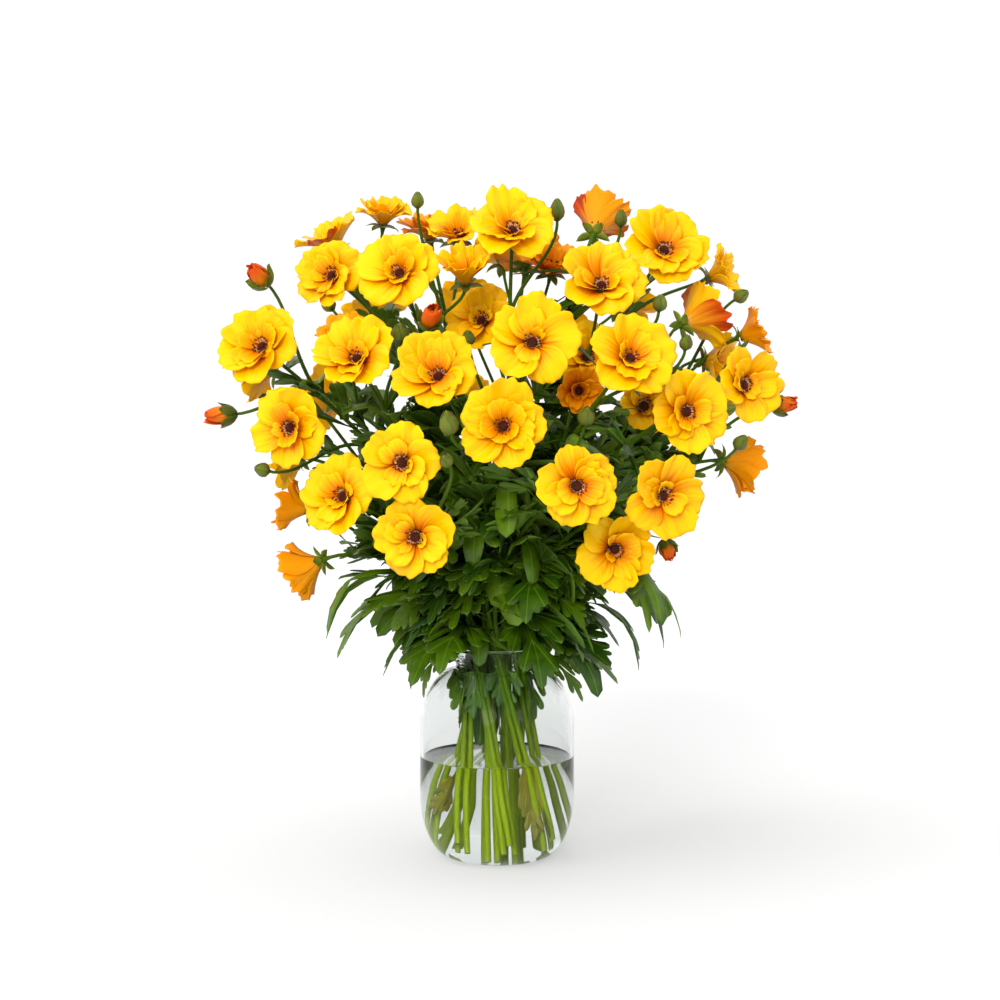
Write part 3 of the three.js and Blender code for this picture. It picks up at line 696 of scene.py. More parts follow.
def quarter(r0, z0, r1, z1, steps, upright_at_end):
    """A quarter of an ellipse between two points of a profile."""
    a = np.linspace(0, math.pi / 2, steps + 1)
    if upright_at_end:
        return np.stack([r0 + (r1 - r0) * np.sin(a), z0 + (z1 - z0) * (1 - np.cos(a))], 1)
    return np.stack([r0 + (r1 - r0) * (1 - np.cos(a)), z0 + (z1 - z0) * np.sin(a)], 1)


def turned(profile, steps=TURNING_STEPS):
    """Points and faces of a closed shape turned from a profile that starts and ends on its axis."""
    around = np.arange(steps) * 2 * math.pi / steps
    rings = np.array([[[r * math.cos(a), r * math.sin(a), z] for a in around] for r, z in profile[1:-1]])
    points = np.concatenate([rings.reshape(-1, 3), [[0, 0, profile[0][1]], [0, 0, profile[-1][1]]]])
    faces = net_faces(len(rings), steps, closed=True)
    first, last, end = len(points) - 2, len(points) - 1, (len(rings) - 1) * steps
    faces += [[(k + 1) % steps, k, first] for k in range(steps)]
    faces += [[end + k, end + (k + 1) % steps, last] for k in range(steps)]
    return points, faces


outside = np.concatenate([
    [[0, 0.8], [FOOT_RADIUS - 14, 0.5], [FOOT_RADIUS - 6, 0], [FOOT_RADIUS - 2, 0]],
    quarter(FOOT_RADIUS, 0.3, BODY_RADIUS, CORNER_TOP, CORNER_STEPS, True),
    quarter(BODY_RADIUS, SHOULDER_FOOT, NECK_RADIUS + 0.4, SHOULDER_TOP, SHOULDER_STEPS, False),
    np.add(NECK_BEAD, [NECK_RADIUS, SHOULDER_TOP]),
    [[NECK_RADIUS + 1.4, RIM_HEIGHT - 7]],
    np.add(MELTED_EDGE, [RIM_RADIUS, RIM_HEIGHT]),
    np.add(INNER_FLARE, [NECK_RADIUS - WALL, RIM_HEIGHT]),
])
cavity = np.concatenate([
    [[0, FLOOR], [FOOT_RADIUS - WALL - 4, FLOOR]],
    quarter(FOOT_RADIUS - WALL, FLOOR + 0.4, BODY_RADIUS - WALL, CORNER_TOP, CORNER_STEPS, True),
    quarter(
        BODY_RADIUS - WALL, SHOULDER_FOOT, NECK_RADIUS - WALL, SHOULDER_TOP - WALL, SHOULDER_STEPS, False),
])
jar_points, jar_faces = turned(np.concatenate([outside, cavity[::-1]]))
jar = Gathering()
jar.add(jar_points, jar_faces, np.zeros((len(jar_points), 2)))
jar_piece = jar.make("glass_jar", [jar_glass], "glass")
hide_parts("jar")
print("jar faces:", len(jar_faces))

# %% [markdown]
# Water wets the glass, so its surface climbs the wall a few millimetres: the meniscus, which the eye reads
# as a fine line round the jar. The water reaches 0.2 mm into the glass. A gap of air between them would
# mirror like silver, and two faces in the same place would flicker.

# %% The water
WATER_LEVEL = 89
SOAK = 0.2
MENISCUS = [(0, 1.6), (0.3, 1.5), (0.8, 0.7), (1.8, 0.2), (3.2, 0.03)]
STILL_RADIUS = 40

below = cavity[cavity[:, 1] < WATER_LEVEL] + [SOAK, 0]
below[:2] = cavity[:2] - [0, SOAK]
wall_radius = BODY_RADIUS - WALL + SOAK
above = [[wall_radius - inward, WATER_LEVEL + rise] for inward, rise in MENISCUS]
above += [[STILL_RADIUS, WATER_LEVEL], [0, WATER_LEVEL]]
water_points, water_faces = turned(np.concatenate([below, above]))
water = Gathering()
water.add(water_points, water_faces, np.zeros((len(water_points), 2)))
water_piece = water.make("jar_water", [jar_water], "water")
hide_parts("water")
print("water level:", WATER_LEVEL, "mm")

# %% [markdown]
# A stem is a ribbed green rod that tapers upwards, swells a little at each fork and widens under its
# bloom. Sweeping a ten-sided ring along the route makes it, and the ring is carried from point to point
# without twisting. The cut end is closed with a flat face of browned pith. A side stalk is a thinner rod,
# and the stalk of a bud ends a little inside it.

# %% Stems and stalks
STEM_SIDES, STALK_SIDES = 10, 8
STEM_STRETCHES, STALK_STRETCHES, JAR_STRETCHES = 26, 14, 6
STALK_TAPER = 0.2
FORK_SWELL, FORK_SPREAD = 0.7, 5
CALYX_RADIUS, CALYX_SPREAD = 3.4, 3.0
STRAIGHT_TIP = 3
BUD_SEAT = 2.2
FIRST_ACROSS = np.array([1, 0.13, 0.07])
STEM_FINISHES = [stem_green_and_shade, cut_pith]
GREEN, CUT = 0, 1


def sweep(gathering, path, radii, sides, finish, end_finish=None):
    """A rod round a path, with one radius for each of its points."""
    around = np.arange(sides) * 2 * math.pi / sides
    across = FIRST_ACROSS
    rings = []
    for i, at in enumerate(path):
        along = unit(path[min(i + 1, len(path) - 1)] - path[max(i - 1, 0)])
        across = unit(across - along * np.dot(across, along))
        third = np.cross(along, across)
        rings.append(at + radii[i] * (np.outer(np.cos(around), across) + np.outer(np.sin(around), third)))
    points = np.concatenate(rings)
    run = np.repeat(np.linspace(0, 1, len(path)), sides)
    uvs = np.stack([np.tile(np.linspace(0, 1, sides), len(path)), run], 1)
    gathering.add(points, net_faces(len(path), sides, closed=True), uvs, finish=finish)
    cap_finish = finish if end_finish is None else end_finish
    for cap in [np.arange(sides)[::-1], np.arange(len(points) - sides, len(points))]:
        gathering.add(points[cap], [list(range(sides))], uvs[cap], finish=cap_finish)


def stalk_radii(path, first, last, forks, flare):
    """Radii that taper along a path, swell at its forks and widen at its end if it carries a bloom."""
    walked = walked_along(path)
    radii = first + (last - first) * (walked / walked[-1]) ** 1.3
    for fork in forks:
        nearest = walked[np.argmin(np.linalg.norm(path - fork, axis=1))]
        radii = radii + FORK_SWELL * np.exp(-((walked - nearest) / FORK_SPREAD) ** 2)
    if flare:
        radii = radii + (CALYX_RADIUS - last) * np.exp(-((walked[-1] - walked) / CALYX_SPREAD) ** 2)
    return radii


def straight_tipped(route, count, seat):
    """A route's points with a short straight stretch at the end, which goes on past it by seat."""
    path, ahead = spaced(route, count), unit(route[3] - route[2])
    return np.concatenate([path[:-1], [path[-1] - STRAIGHT_TIP * ahead, path[-1] + seat * ahead]])


def side_stalk(gathering, stems, shoot, finish):
    """The stalk of one side shoot, from the stem that it forks from to its bloom or bud."""
    blooms = isinstance(shoot.tip, Bloom)
    path = straight_tipped(shoot_route(stems, shoot), STALK_STRETCHES, 0 if blooms else BUD_SEAT)
    radii = stalk_radii(path, STALK_RADIUS + STALK_TAPER, STALK_RADIUS - STALK_TAPER, [], blooms)
    sweep(gathering, path, radii, STALK_SIDES, finish)


def grow_stems(spray):
    """All the stems and side shoots of one spray, as one piece."""
    rods = Gathering()
    stems = LEADERS[spray.name]
    for k, (foot, route, joints) in enumerate(stems):
        in_jar = [foot + (route[0] - foot) * t for t in np.linspace(0, 1, JAR_STRETCHES + 1)[:-1]]
        path = np.concatenate([in_jar, straight_tipped(route, STEM_STRETCHES, 0)])
        forks = [joints[shoot.joint] for shoot in spray.shoots if shoot.stem == k]
        radii = stalk_radii(path, STEM_RADIUS, STALK_RADIUS, forks, True)
        sweep(rods, path, radii, STEM_SIDES, GREEN, CUT)
    for shoot in spray.shoots:
        side_stalk(rods, stems, shoot, GREEN)
    return rods


for spray in SPRAYS:
    piece = grow_stems(spray).make("stems_" + spray.name, STEM_FINISHES, "green")
    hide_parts("spray_" + spray.name)
print("stem pieces:", len(SPRAYS))

# %% [markdown]
# A petal of this flower is as broad as it is long, with a narrow claw, a rounded ruffled end and a slight
# windmill lean, so that each one laps over its neighbour. It could be sculpted, but a formula gives five
# hundred petals that are all different: a flat net of points is laid on a cone round the flower's axis, and
# waves are added that grow towards the edge. Its slope along the petal is the CAD solid's own.

# %% One petal
PETAL_SKIN = 0.3
CLAW_START = 0.81
CLAW_WIDTH = 0.12
WIDEST_ALONG = 0.78
WIDEST_REACH = 0.74
ROUNDED_CORNERS = 0.16
DEEPEST_NOTCH = 0.07
Net = namedtuple("Net", "along across faces rim uvs")


def petal_net(rows, columns):
    """A flat net of points from a petal's claw to its edge, and from one side to the other."""
    along, across = np.meshgrid(np.linspace(0, 1, rows) ** 0.85, np.linspace(-1, 1, columns), indexing="ij")
    faces = net_faces(rows, columns)
    uvs = np.stack([(across.ravel() + 1) / 2, along.ravel()], 1)
    return Net(along, across, faces, rim_edges(faces), uvs)


BROAD_NET = petal_net(11, 19)
SMALL_NET = petal_net(9, 13)
PetalShape = namedtuple("PetalShape", "net heading radius base length rise fall spread ruffle")


def petal_points(shape, rng):
    """The points of one petal round a flower's axis, which points straight up."""
    along, across = shape.net.along, shape.net.across
    draw = rng.uniform

    def ripple(slowest, fastest):
        """A wave from side to side, with a random length and start."""
        return np.sin(across * draw(slowest, fastest) + draw(0, 6))

    # How far along and how high each point lies. The edge is rounded, notched near its middle and scalloped.
    notch = draw(0, DEEPEST_NOTCH) * np.exp(-((across - draw(-0.3, 0.3)) / 0.2) ** 2)
    margin = ROUNDED_CORNERS * np.abs(across) ** 2.8 + notch
    pleat = np.cos(across * math.pi * draw(2.1, 3.3) + draw(-0.9, 0.9))
    scallop = 0.016 * pleat + 0.02 * ripple(12, 16)
    s = along * (1 - (margin - scallop * shape.ruffle) * along ** 3)
    slope = np.radians(shape.rise + (shape.fall - shape.rise) * s / 2)
    out = shape.radius * CLAW_START + shape.length * s * np.cos(slope)
    up = shape.base + 1 + shape.length * s * np.sin(slope)

    # How wide it is: narrow at the claw, and widest some way before the edge.
    widest_slope = math.radians(shape.rise + (shape.fall - shape.rise) * WIDEST_REACH / 2)
    widest = shape.radius * CLAW_START + shape.length * WIDEST_REACH * math.cos(widest_slope)
    share = np.sin(math.pi / 2 * np.minimum(along / WIDEST_ALONG, 1)) ** 1.1
    half = widest * math.tan(math.radians(shape.spread)) * (CLAW_WIDTH + (1 - CLAW_WIDTH) * share)

    # How it bends: curled at the edge, lifted at one side, waved, frilled, grooved, cupped and leaning.
    curl = draw(-0.8, 1.0) * 0.13 * shape.length * along ** 3.5
    lift = draw(0.0, 0.12) * half * np.clip(np.sign(draw(-1, 1)) * across, 0, 1) ** 2 * along
    wave = 0.036 * shape.length * along ** 1.7 * pleat
    wave = wave + 0.055 * shape.length * along ** 2.5 * ripple(3.5, 6)
    frill = 0.028 * shape.length * along ** 6 * ripple(10, 14)
    groove = 0.03 * shape.length * along * np.exp(-((across - draw(-0.15, 0.15)) / 0.16) ** 2)
    cup_and_lean = half * (0.1 * across ** 2 + 0.14 * across)
    up = up + cup_and_lean + (wave + frill) * shape.ruffle + lift - curl - groove
    angle = shape.heading + across * half / np.maximum(out, 4)
    return np.stack([out * np.cos(angle), out * np.sin(angle), up], -1).reshape(-1, 3)


print("points in a broad petal:", BROAD_NET.along.size, "- in a small one:", SMALL_NET.along.size)

# %% [markdown]
# The flower's heart: a low cone of some seventy seed vessels set by the golden angle, as in a real flower,
# and a ring of stamens, each a thread with a dusty head. Every grain is an eight-sided bead. At the size of
# the photograph it is a few pixels wide, so more sides wouldn't show.

# %% The heart of a bloom
GOLDEN_ANGLE = math.pi * (3 - math.sqrt(5))
HUB_RADIUS = 4.6
CONE_RADIUS, CONE_FOOT, CONE_HEIGHT = 4.8, 3.5, 6
SEED_VESSELS = 70
STAMENS = 34
VESSEL_SIZE = (0.8, 1.4)
DUST_SIZE = (0.75, 1.7)
THREAD_GIRTH = 0.4
BEAD_POINTS = np.array([[1, 0, 0], [0, 1, 0], [-1, 0, 0], [0, -1, 0], [0, 0, 1], [0, 0, -1]], float)
BEAD_FACES = [[k, (k + 1) % 4, 4] for k in range(4)] + [[(k + 1) % 4, k, 5] for k in range(4)]


def bead(gathering, placed, at, size, axis, finish):
    """One eight-sided bead. size is its girth and its height, and placed puts it into the bouquet."""
    girth, height = size
    points = (BEAD_POINTS * [girth, girth, height]) @ turn_to(axis) + at
    gathering.add(placed(points), BEAD_FACES, np.zeros((len(points), 2)), finish=finish)


def outward_at(angle):
    """The level unit vector at an angle round the flower's axis."""
    return np.array([math.cos(angle), math.sin(angle), 0])


def heart(gathering, rng, placed, vessel_finish, dust_finish, thread_finish):
    """The seed cone and the stamens of one bloom."""
    for k in range(SEED_VESSELS):
        share = (k + 0.5) / SEED_VESSELS
        outward = outward_at(k * GOLDEN_ANGLE)
        at = outward * (CONE_RADIUS * math.sqrt(share)) + UP * (CONE_FOOT + CONE_HEIGHT * (1 - share ** 1.4))
        bead(gathering, placed, at, VESSEL_SIZE, unit(UP + outward * share * 1.6), vessel_finish)
    for k in range(STAMENS):
        outward = outward_at(k * GOLDEN_ANGLE + rng.uniform(-0.1, 0.1))
        foot = outward * 3.4 + UP * 4
        head = outward * rng.uniform(4.8, 7.6) + UP * rng.uniform(8.5, 12)
        lean = unit(head - foot)
        thread_size = (THREAD_GIRTH, np.linalg.norm(head - foot) / 2)
        bead(gathering, placed, (foot + head) / 2, thread_size, lean, thread_finish)
        bead(gathering, placed, head, DUST_SIZE, unit(lean + UP * 0.4), dust_finish)


print("beads in a heart:", SEED_VESSELS + 2 * STAMENS)

# %% [markdown]
# A bloom is built from the outside in, as a florist sees it open: five green sepals bent back under it, five
# broad outer petals, a few loose ones on top of them, then smaller petals that stand up crumpled round the
# heart. How open the bloom is sets the slopes. The deep amber of the older flowers and the red blush on the
# backs of a few are given by name, because the photograph shows where they are. Six more blooms stand behind
# others and show only in part. The CAD model has no room for them, so each brings its own stalk here.

# %% Blooms
AMBER_BLOOMS = {"left_1", "left_4", "left_5", "right_1", "right_5", "top_right_3", "top_right_5",
                "top_left_3", "behind_5", "behind_6"}
BLUSHED_BLOOMS = {"right_4", "top_left_2", "top_right_3"}
BLUSHED_PETALS = {1, 3}
HIDDEN_SHOOTS = [
    ("top_left", Shoot(0, 3, Bloom(-34, 14, 544, -10, 55, 62, 0.6))),
    ("top_right", Shoot(0, 3, Bloom(-12, 0, 472, -14, 22, 66, 0.7))),
    ("top_right", Shoot(1, 2, Bloom(76, -20, 440, 10, 20, 66, 0.75))),
    ("right", Shoot(2, 3, Bloom(184, 30, 440, 62, -4, 66, 0.55))),
    ("front_right", Shoot(2, 3, Bloom(68, -72, 414, 6, 0, 46, 0.35))),
    ("top_right", Shoot(0, 3, Bloom(47, 20, 516, 8, 56, 60, 0.65))),
]
BLOOM_FINISHES = [petal_back, petal_face, blushed_back, petal_face, sepal_back, sepal_face,
                  seed_skin, stamen_skin, thread_skin]
PLAIN, BLUSHED, SEPALS, VESSELS, DUST, THREADS = 0, 2, 4, 6, 7, 8
HIDDEN_DRAWS = 500
SPIN, HIDDEN_SPIN = 0.7, 0.9
FIFTH = 2 * math.pi / 5
AMBER_AGE = 0.8
INNER_FLAME = 0.35
SEPAL_SKIN = 0.3
SEPAL_LENGTH = 14
SEPAL_ROWS, SEPAL_COLUMNS = 6, 5
SEPAL_ALONG, SEPAL_ACROSS = np.meshgrid(
    np.linspace(0, 1, SEPAL_ROWS), np.linspace(-1, 1, SEPAL_COLUMNS), indexing="ij")
SEPAL_FACES = net_faces(SEPAL_ROWS, SEPAL_COLUMNS)
SEPAL_RIM = rim_edges(SEPAL_FACES)
SEPAL_UVS = np.stack([np.abs(SEPAL_ACROSS.ravel()) * 0.3, SEPAL_ALONG.ravel()], 1)


def sepal_points(heading, length, half, slope, bend):
    """A small pointed sepal under a bloom, its slope changing by bend on the way out."""
    angle = np.radians(slope + bend * SEPAL_ALONG)
    out = 2.6 + length * SEPAL_ALONG * np.cos(angle)
    up = -0.8 + length * SEPAL_ALONG * np.sin(angle)
    width = half * np.sin(math.pi * (0.18 + 0.82 * SEPAL_ALONG)) ** 0.8
    up = up - 0.25 * width * (1 - SEPAL_ACROSS ** 2)
    side = SEPAL_ACROSS * width
    return np.stack([
        out * math.cos(heading) - side * math.sin(heading),
        out * math.sin(heading) + side * math.cos(heading), up], -1).reshape(-1, 3)


def open_bloom(tip, label, spin, rng):
    """One whole flower. spin is how far it is turned round its own axis."""
    flower = Gathering()
    turn = turn_to(looking(tip.yaw, tip.pitch))
    place = np.array([tip.x, tip.y, tip.z], float)

    def placed(points):
        return points @ turn + place

    rise = 78 - 40 * tip.openness
    fall = 52 - 62 * tip.openness
    length = (tip.width / 2 - 3.5) / math.cos(math.radians((rise + fall) / 2))
    flame = rng.uniform(0.9, 1.3)
    age = AMBER_AGE if label in AMBER_BLOOMS else rng.uniform(0, 0.1)

    # Five outer petals, one to three loose ones on them, and three to five small ones round the heart.
    shapes = []
    for i in range(5):
        shapes.append(PetalShape(
            BROAD_NET, spin + FIFTH * i + rng.uniform(-0.08, 0.08), HUB_RADIUS, 0,
            length * rng.uniform(0.88, 0.98), rise + rng.uniform(-2, 4), fall + rng.uniform(-6, 10),
            rng.uniform(33, 40), 1.0))
    for i in range(rng.integers(1, 4)):
        shapes.append(PetalShape(
            BROAD_NET, spin + FIFTH * (i * 2 + rng.uniform(0.3, 0.7)), HUB_RADIUS * 0.9, 1.5,
            length * rng.uniform(0.72, 0.86), rise + rng.uniform(5, 10), fall + rng.uniform(8, 26),
            rng.uniform(34, 42), 1.3))
    for i in range(rng.integers(3, 6)):
        small = rng.uniform() < 0.4
        reach = rng.uniform(0.34, 0.44) if small else rng.uniform(0.5, 0.68)
        shapes.append(PetalShape(
            SMALL_NET, spin + FIFTH * (i * 2 + 0.5) + rng.uniform(-0.25, 0.25), HUB_RADIUS * 0.8, 3,
            length * reach, rise + 12 + rng.uniform(-4, 8), fall + 18 + rng.uniform(-10, 34),
            rng.uniform(33, 44), 1.3))
    for i, shape in enumerate(shapes):
        blushed = label in BLUSHED_BLOOMS and i in BLUSHED_PETALS
        inner = shape.net is SMALL_NET
        tone = (flame * rng.uniform(0.75, 1.15) + (INNER_FLAME if inner else 0),
                age + rng.uniform(0, 0.12), rng.uniform())
        flower.add_sheet(placed(petal_points(shape, rng)), shape.net.faces, shape.net.rim, shape.net.uvs,
                         tone, BLUSHED if blushed else PLAIN, PETAL_SKIN)
    for i in range(5):
        points = sepal_points(
            spin + FIFTH * (i + 0.5), SEPAL_LENGTH * rng.uniform(0.85, 1.1), rng.uniform(3.4, 4.4),
            min(rise - 22, 30) + rng.uniform(-8, 4), rng.uniform(-50, -20))
        tone = (rng.uniform(-0.2, 0.4), 0, 0)
        flower.add_sheet(placed(points), SEPAL_FACES, SEPAL_RIM, SEPAL_UVS, tone, SEPALS, SEPAL_SKIN)
    heart(flower, rng, placed, VESSELS, DUST, THREADS)
    return flower


bloom_tips = []
for spray in SPRAYS:
    bloom_tips += [(f"{spray.name}_{k + 1}", tip) for k, tip in enumerate(spray.leaders)]
    bloom_tips += [(f"{spray.name}_{k + 4}", shoot.tip) for k, shoot in enumerate(spray.shoots)
                   if isinstance(shoot.tip, Bloom)]
for index, (label, tip) in enumerate(bloom_tips):
    flower = open_bloom(tip, label, index * SPIN, seeded(index))
    piece = flower.make("flower_" + label, BLOOM_FINISHES, "petal")
    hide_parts("bloom_" + label)
for index, (name, shoot) in enumerate(HIDDEN_SHOOTS):
    label = f"behind_{index + 1}"
    flower = open_bloom(shoot.tip, label, index * HIDDEN_SPIN, seeded(HIDDEN_DRAWS, index))
    side_stalk(flower, LEADERS[name], shoot, len(BLOOM_FINISHES))
    flower.make("flower_" + label, BLOOM_FINISHES + [stem_green_and_shade], "petal")
print("blooms:", len(bloom_tips), "and", len(HIDDEN_SHOOTS), "behind them")
print("faces in the last one:", len(flower.faces))

# %% [markdown]
# A bud is an egg of folded petals that five sepals hold shut. Small ones are green all over. The larger
# ones have begun to part, and show orange petals above the sepals. The egg is a turned net, and each sepal
# is a strip that follows it a little further out.

# %% Buds
BUD_FINISHES = [bud_petal, bud_petal, sepal_face, sepal_back]
BUD_PETALS, BUD_SEPALS = 0, 2
BUD_DRAWS = 100
SHOWING_WIDTH = 15.5
EGG_ROWS, EGG_SIDES = 12, 20
FOLDED_PETALS = 7


def bud_radius(t, width):
    """The radius of a bud at shares t of its length."""
    return width / 2 * np.sin(math.pi * np.clip(t, 0, 1) ** 0.72) ** 0.75


def green_egg(tip, rng):
    """The points of a closed bud, a little pinched between its sepals towards the end."""
    t = np.linspace(0.01, 0.995, EGG_ROWS)[:, None]
    around = np.arange(EGG_SIDES)[None, :] * 2 * math.pi / EGG_SIDES
    pinch = 1 - 0.05 * (1 + np.cos(5 * around + rng.uniform(0, 6))) * t
    radius = bud_radius(t, tip.width * 0.94) * pinch
    points = np.stack([radius * np.cos(around), radius * np.sin(around), t * tip.length + 0 * around], -1)
    from_vein = np.abs(np.sin(np.arange(EGG_SIDES) * math.pi / 4))
    uvs = np.stack([np.tile(from_vein, EGG_ROWS), np.repeat(t[:, 0], EGG_SIDES)], 1)
    return points.reshape(-1, 3), net_faces(EGG_ROWS, EGG_SIDES, closed=True), uvs


def closed_bud(gathering, tip, rng):
    """One bud on its stalk's end: an egg of sepals, or folded orange petals that part above them."""
    turn = turn_to(looking(tip.yaw, tip.pitch))
    place = np.array([tip.x, tip.y, tip.z], float)
    showing = tip.width > SHOWING_WIDTH
    if showing:
        for k in range(FOLDED_PETALS):
            inner = k > 3
            shape = PetalShape(
                SMALL_NET, GOLDEN_ANGLE * k, tip.width * (0.14 if inner else 0.2), 0.5,
                tip.length * rng.uniform(0.86, 1.0), rng.uniform(44, 52), rng.uniform(122, 142),
                rng.uniform(48, 56), 0.7)
            points = petal_points(shape, rng) @ turn + place
            tone = (rng.uniform(0.7, 1.1), rng.uniform(), rng.uniform())
            gathering.add_sheet(
                points, SMALL_NET.faces, SMALL_NET.rim, SMALL_NET.uvs, tone, BUD_PETALS, PETAL_SKIN)
    else:
        points, faces, uvs = green_egg(tip, rng)
        gathering.add(points @ turn + place, faces, uvs, tone=(0.2, 0, 0), finish=BUD_SEPALS)

    # How far up the bud its sepals reach, how broad they are, and how far their tips spring away from it.
    reach, breadth, spring = (0.6, 0.62, 4.0) if showing else (0.97, 0.8, 0.6)
    for k in range(5):
        heading = 2 * math.pi * (k / 5) + 0.4
        s = SEPAL_ALONG * reach
        half = np.sin(math.pi * (0.15 + 0.85 * SEPAL_ALONG)) ** 0.7 * breadth
        flare = spring * SEPAL_ALONG ** 4
        radius = bud_radius(np.maximum(s, 0.02), tip.width) + 0.25 + 0.25 * (k % 2) + flare
        angle = heading + SEPAL_ACROSS * half
        strip = np.stack([radius * np.cos(angle), radius * np.sin(angle), s * tip.length], -1)
        points = strip.reshape(-1, 3) @ turn + place
        tone = (rng.uniform(-0.3, 0.3), 0, 0)
        gathering.add_sheet(points, SEPAL_FACES, SEPAL_RIM, SEPAL_UVS, tone, BUD_SEPALS, SEPAL_SKIN)


for spray in SPRAYS:
    buds = Gathering()
    for k, shoot in enumerate(spray.shoots):
        if isinstance(shoot.tip, Bud):
            closed_bud(buds, shoot.tip, seeded(BUD_DRAWS, k, int(shoot.tip.z)))
    if buds.count:
        buds.make("buds_" + spray.name, BUD_FINISHES, "green")
print("buds:", sum(isinstance(shoot.tip, Bud) for spray in SPRAYS for shoot in spray.shoots))

# %% [markdown]
# A ranunculus leaf has a thin stalk and three segments, each cut into blunt fingers, like flat parsley. Its
# pattern is drawn flat: every finger is a tapering strip, webs join the fingers of a segment, and
# Blender's Delaunay triangulation merges all the outlines into one sheet. The middle line of each finger
# stays in the sheet as an edge, and there the distance from a vein is zero. Extra points inside let the
# leaf bend. A few patterns are enough, because every leaf bends, turns and is sized differently.

# %% Leaf patterns
PATTERN_DRAWS = 200
PATTERN_LENGTH = 100
LeafPattern = namedtuple("LeafPattern", "points faces rim uvs")
FINGER_PROFILE = [(0.0, 0.55), (0.5, 0.84), (0.8, 1.0), (0.95, 0.66)]


def finger(base, tip, half):
    """The outline of one finger of a leaf, from its base round its blunt tip."""
    along = tip - base
    side = unit(np.array([-along[1], along[0]])) * half
    right = [base + along * t - side * w for t, w in FINGER_PROFILE]
    left = [base + along * t + side * w for t, w in FINGER_PROFILE[::-1]]
    return np.array(right + [tip] + left)


def distance_to_lines(points, lines):
    """The distance of each point to the nearest of some straight lines."""
    best = np.full(len(points), 1e9)
    for a, b in lines:
        t = np.clip(((points - a) @ (b - a)) / np.dot(b - a, b - a), 0, 1)[:, None]
        best = np.minimum(best, np.linalg.norm(points - (a + t * (b - a)), axis=1))
    return best


def triangulated(points, edges, faces):
    """The flat sheet inside some edges or outlines, without the points that no triangle uses."""
    merged, _, triangles, _, _, _ = delaunay_2d_cdt([Vector(p) for p in points], edges, faces, 1, 1e-3)
    used = sorted({k for triangle in triangles for k in triangle})
    renumbered = {old: new for new, old in enumerate(used)}
    flat = np.array([list(merged[k]) for k in used])
    return flat, [[renumbered[k] for k in triangle] for triangle in triangles]


def leaf_pattern(outlines, veins, spread, step):
    """Merges outlines into one sheet with points along its veins. spread is half the pattern's width."""
    starts = np.cumsum([0] + [len(outline) for outline in outlines])
    faces = [list(range(a, b)) for a, b in zip(starts, starts[1:])]
    flat, triangles = triangulated(np.concatenate(outlines), [], faces)
    edges = rim_edges(triangles)
    points = list(flat)
    for a, b in veins:
        count = max(2, int(np.linalg.norm(b - a) / step))
        first = len(points)
        points += [a + (b - a) * t for t in np.linspace(0.04, 0.95, count)]
        edges += [(first + k, first + k + 1) for k in range(count - 1)]
    flat, triangles = triangulated(points, edges, [])
    uvs = np.stack([distance_to_lines(flat, veins) / VEIN_UNIT_MM, flat[:, 0] / PATTERN_LENGTH], 1)
    return LeafPattern(flat / [PATTERN_LENGTH, spread], triangles, rim_edges(triangles), uvs)


def lobed_pattern(rng):
    """Three segments of blunt fingers on a stalk."""
    spread = 27
    base = np.array([24, 0])
    outlines, veins = [finger(np.array([0, 0]), base + [8, 0], 1.7)], [(np.array([0, 0]), base)]
    segments = [
        [(100, 0), (85, 16), (84, -16)],
        [(55, 27), (68, 21), (38, 18)],
        [(55, -27), (68, -21), (38, -18)],
    ]
    for k, tips in enumerate(segments):
        tips = [np.array(tip) + rng.uniform(-3, 3, 2) for tip in tips]
        middle = base + (tips[0] - base) * (rng.uniform(0.3, 0.42) if k == 0 else 0.2)
        outlines.append(finger(base - [3, 0], tips[0], rng.uniform(5.4, 6.6)))
        veins.append((base, tips[0]))
        along = tips[0] - base
        for side in (-1, 1):
            if rng.uniform() < 0.6:
                continue
            start = base + along * rng.uniform(0.6, 0.68)
            end = base + along * rng.uniform(0.84, 0.92) + side * unit(np.array([-along[1], along[0]])) * 10
            outlines.append(finger(start, end, 3.2))
        for tip in tips[1:]:
            outlines.append(finger(middle, tip, rng.uniform(5.2, 6.6)))
            veins.append((middle, tip))
    return leaf_pattern(outlines, veins, spread, 16)


def strap_pattern(rng, fingers):
    """A long narrow leaf, plain or forked near its middle."""
    spread = 6
    outlines = [finger(np.array([0, 0]), np.array([100, rng.uniform(-2, 2)]), 6.4)]
    veins = [(np.array([0, 0]), np.array([100, 0]))]
    for k in range(fingers):
        side = 1 if k % 2 else -1
        start = np.array([rng.uniform(25, 45), 0])
        tip = np.array([rng.uniform(62, 84), side * rng.uniform(10, 16)])
        outlines.append(finger(start, tip, rng.uniform(3.2, 4.4)))
        veins.append((start, tip))
    return leaf_pattern(outlines, veins, spread, 12)


pattern_rng = seeded(PATTERN_DRAWS)
LOBED_PATTERNS = [lobed_pattern(pattern_rng) for _ in range(6)]
STRAP_PATTERNS = [strap_pattern(pattern_rng, fingers) for fingers in (0, 0, 1, 2, 2)]
print("triangles in the leaf patterns:", [len(p.faces) for p in LOBED_PATTERNS + STRAP_PATTERNS])

# %% [markdown]
# The CAD source tries eight ways to set each leaf and keeps the first one that is clear of its neighbours.
# The same fixed sequence of draws gives the same eight here, and the one that was kept is the one whose
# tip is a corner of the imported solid. A KD-tree finds that corner quickly.

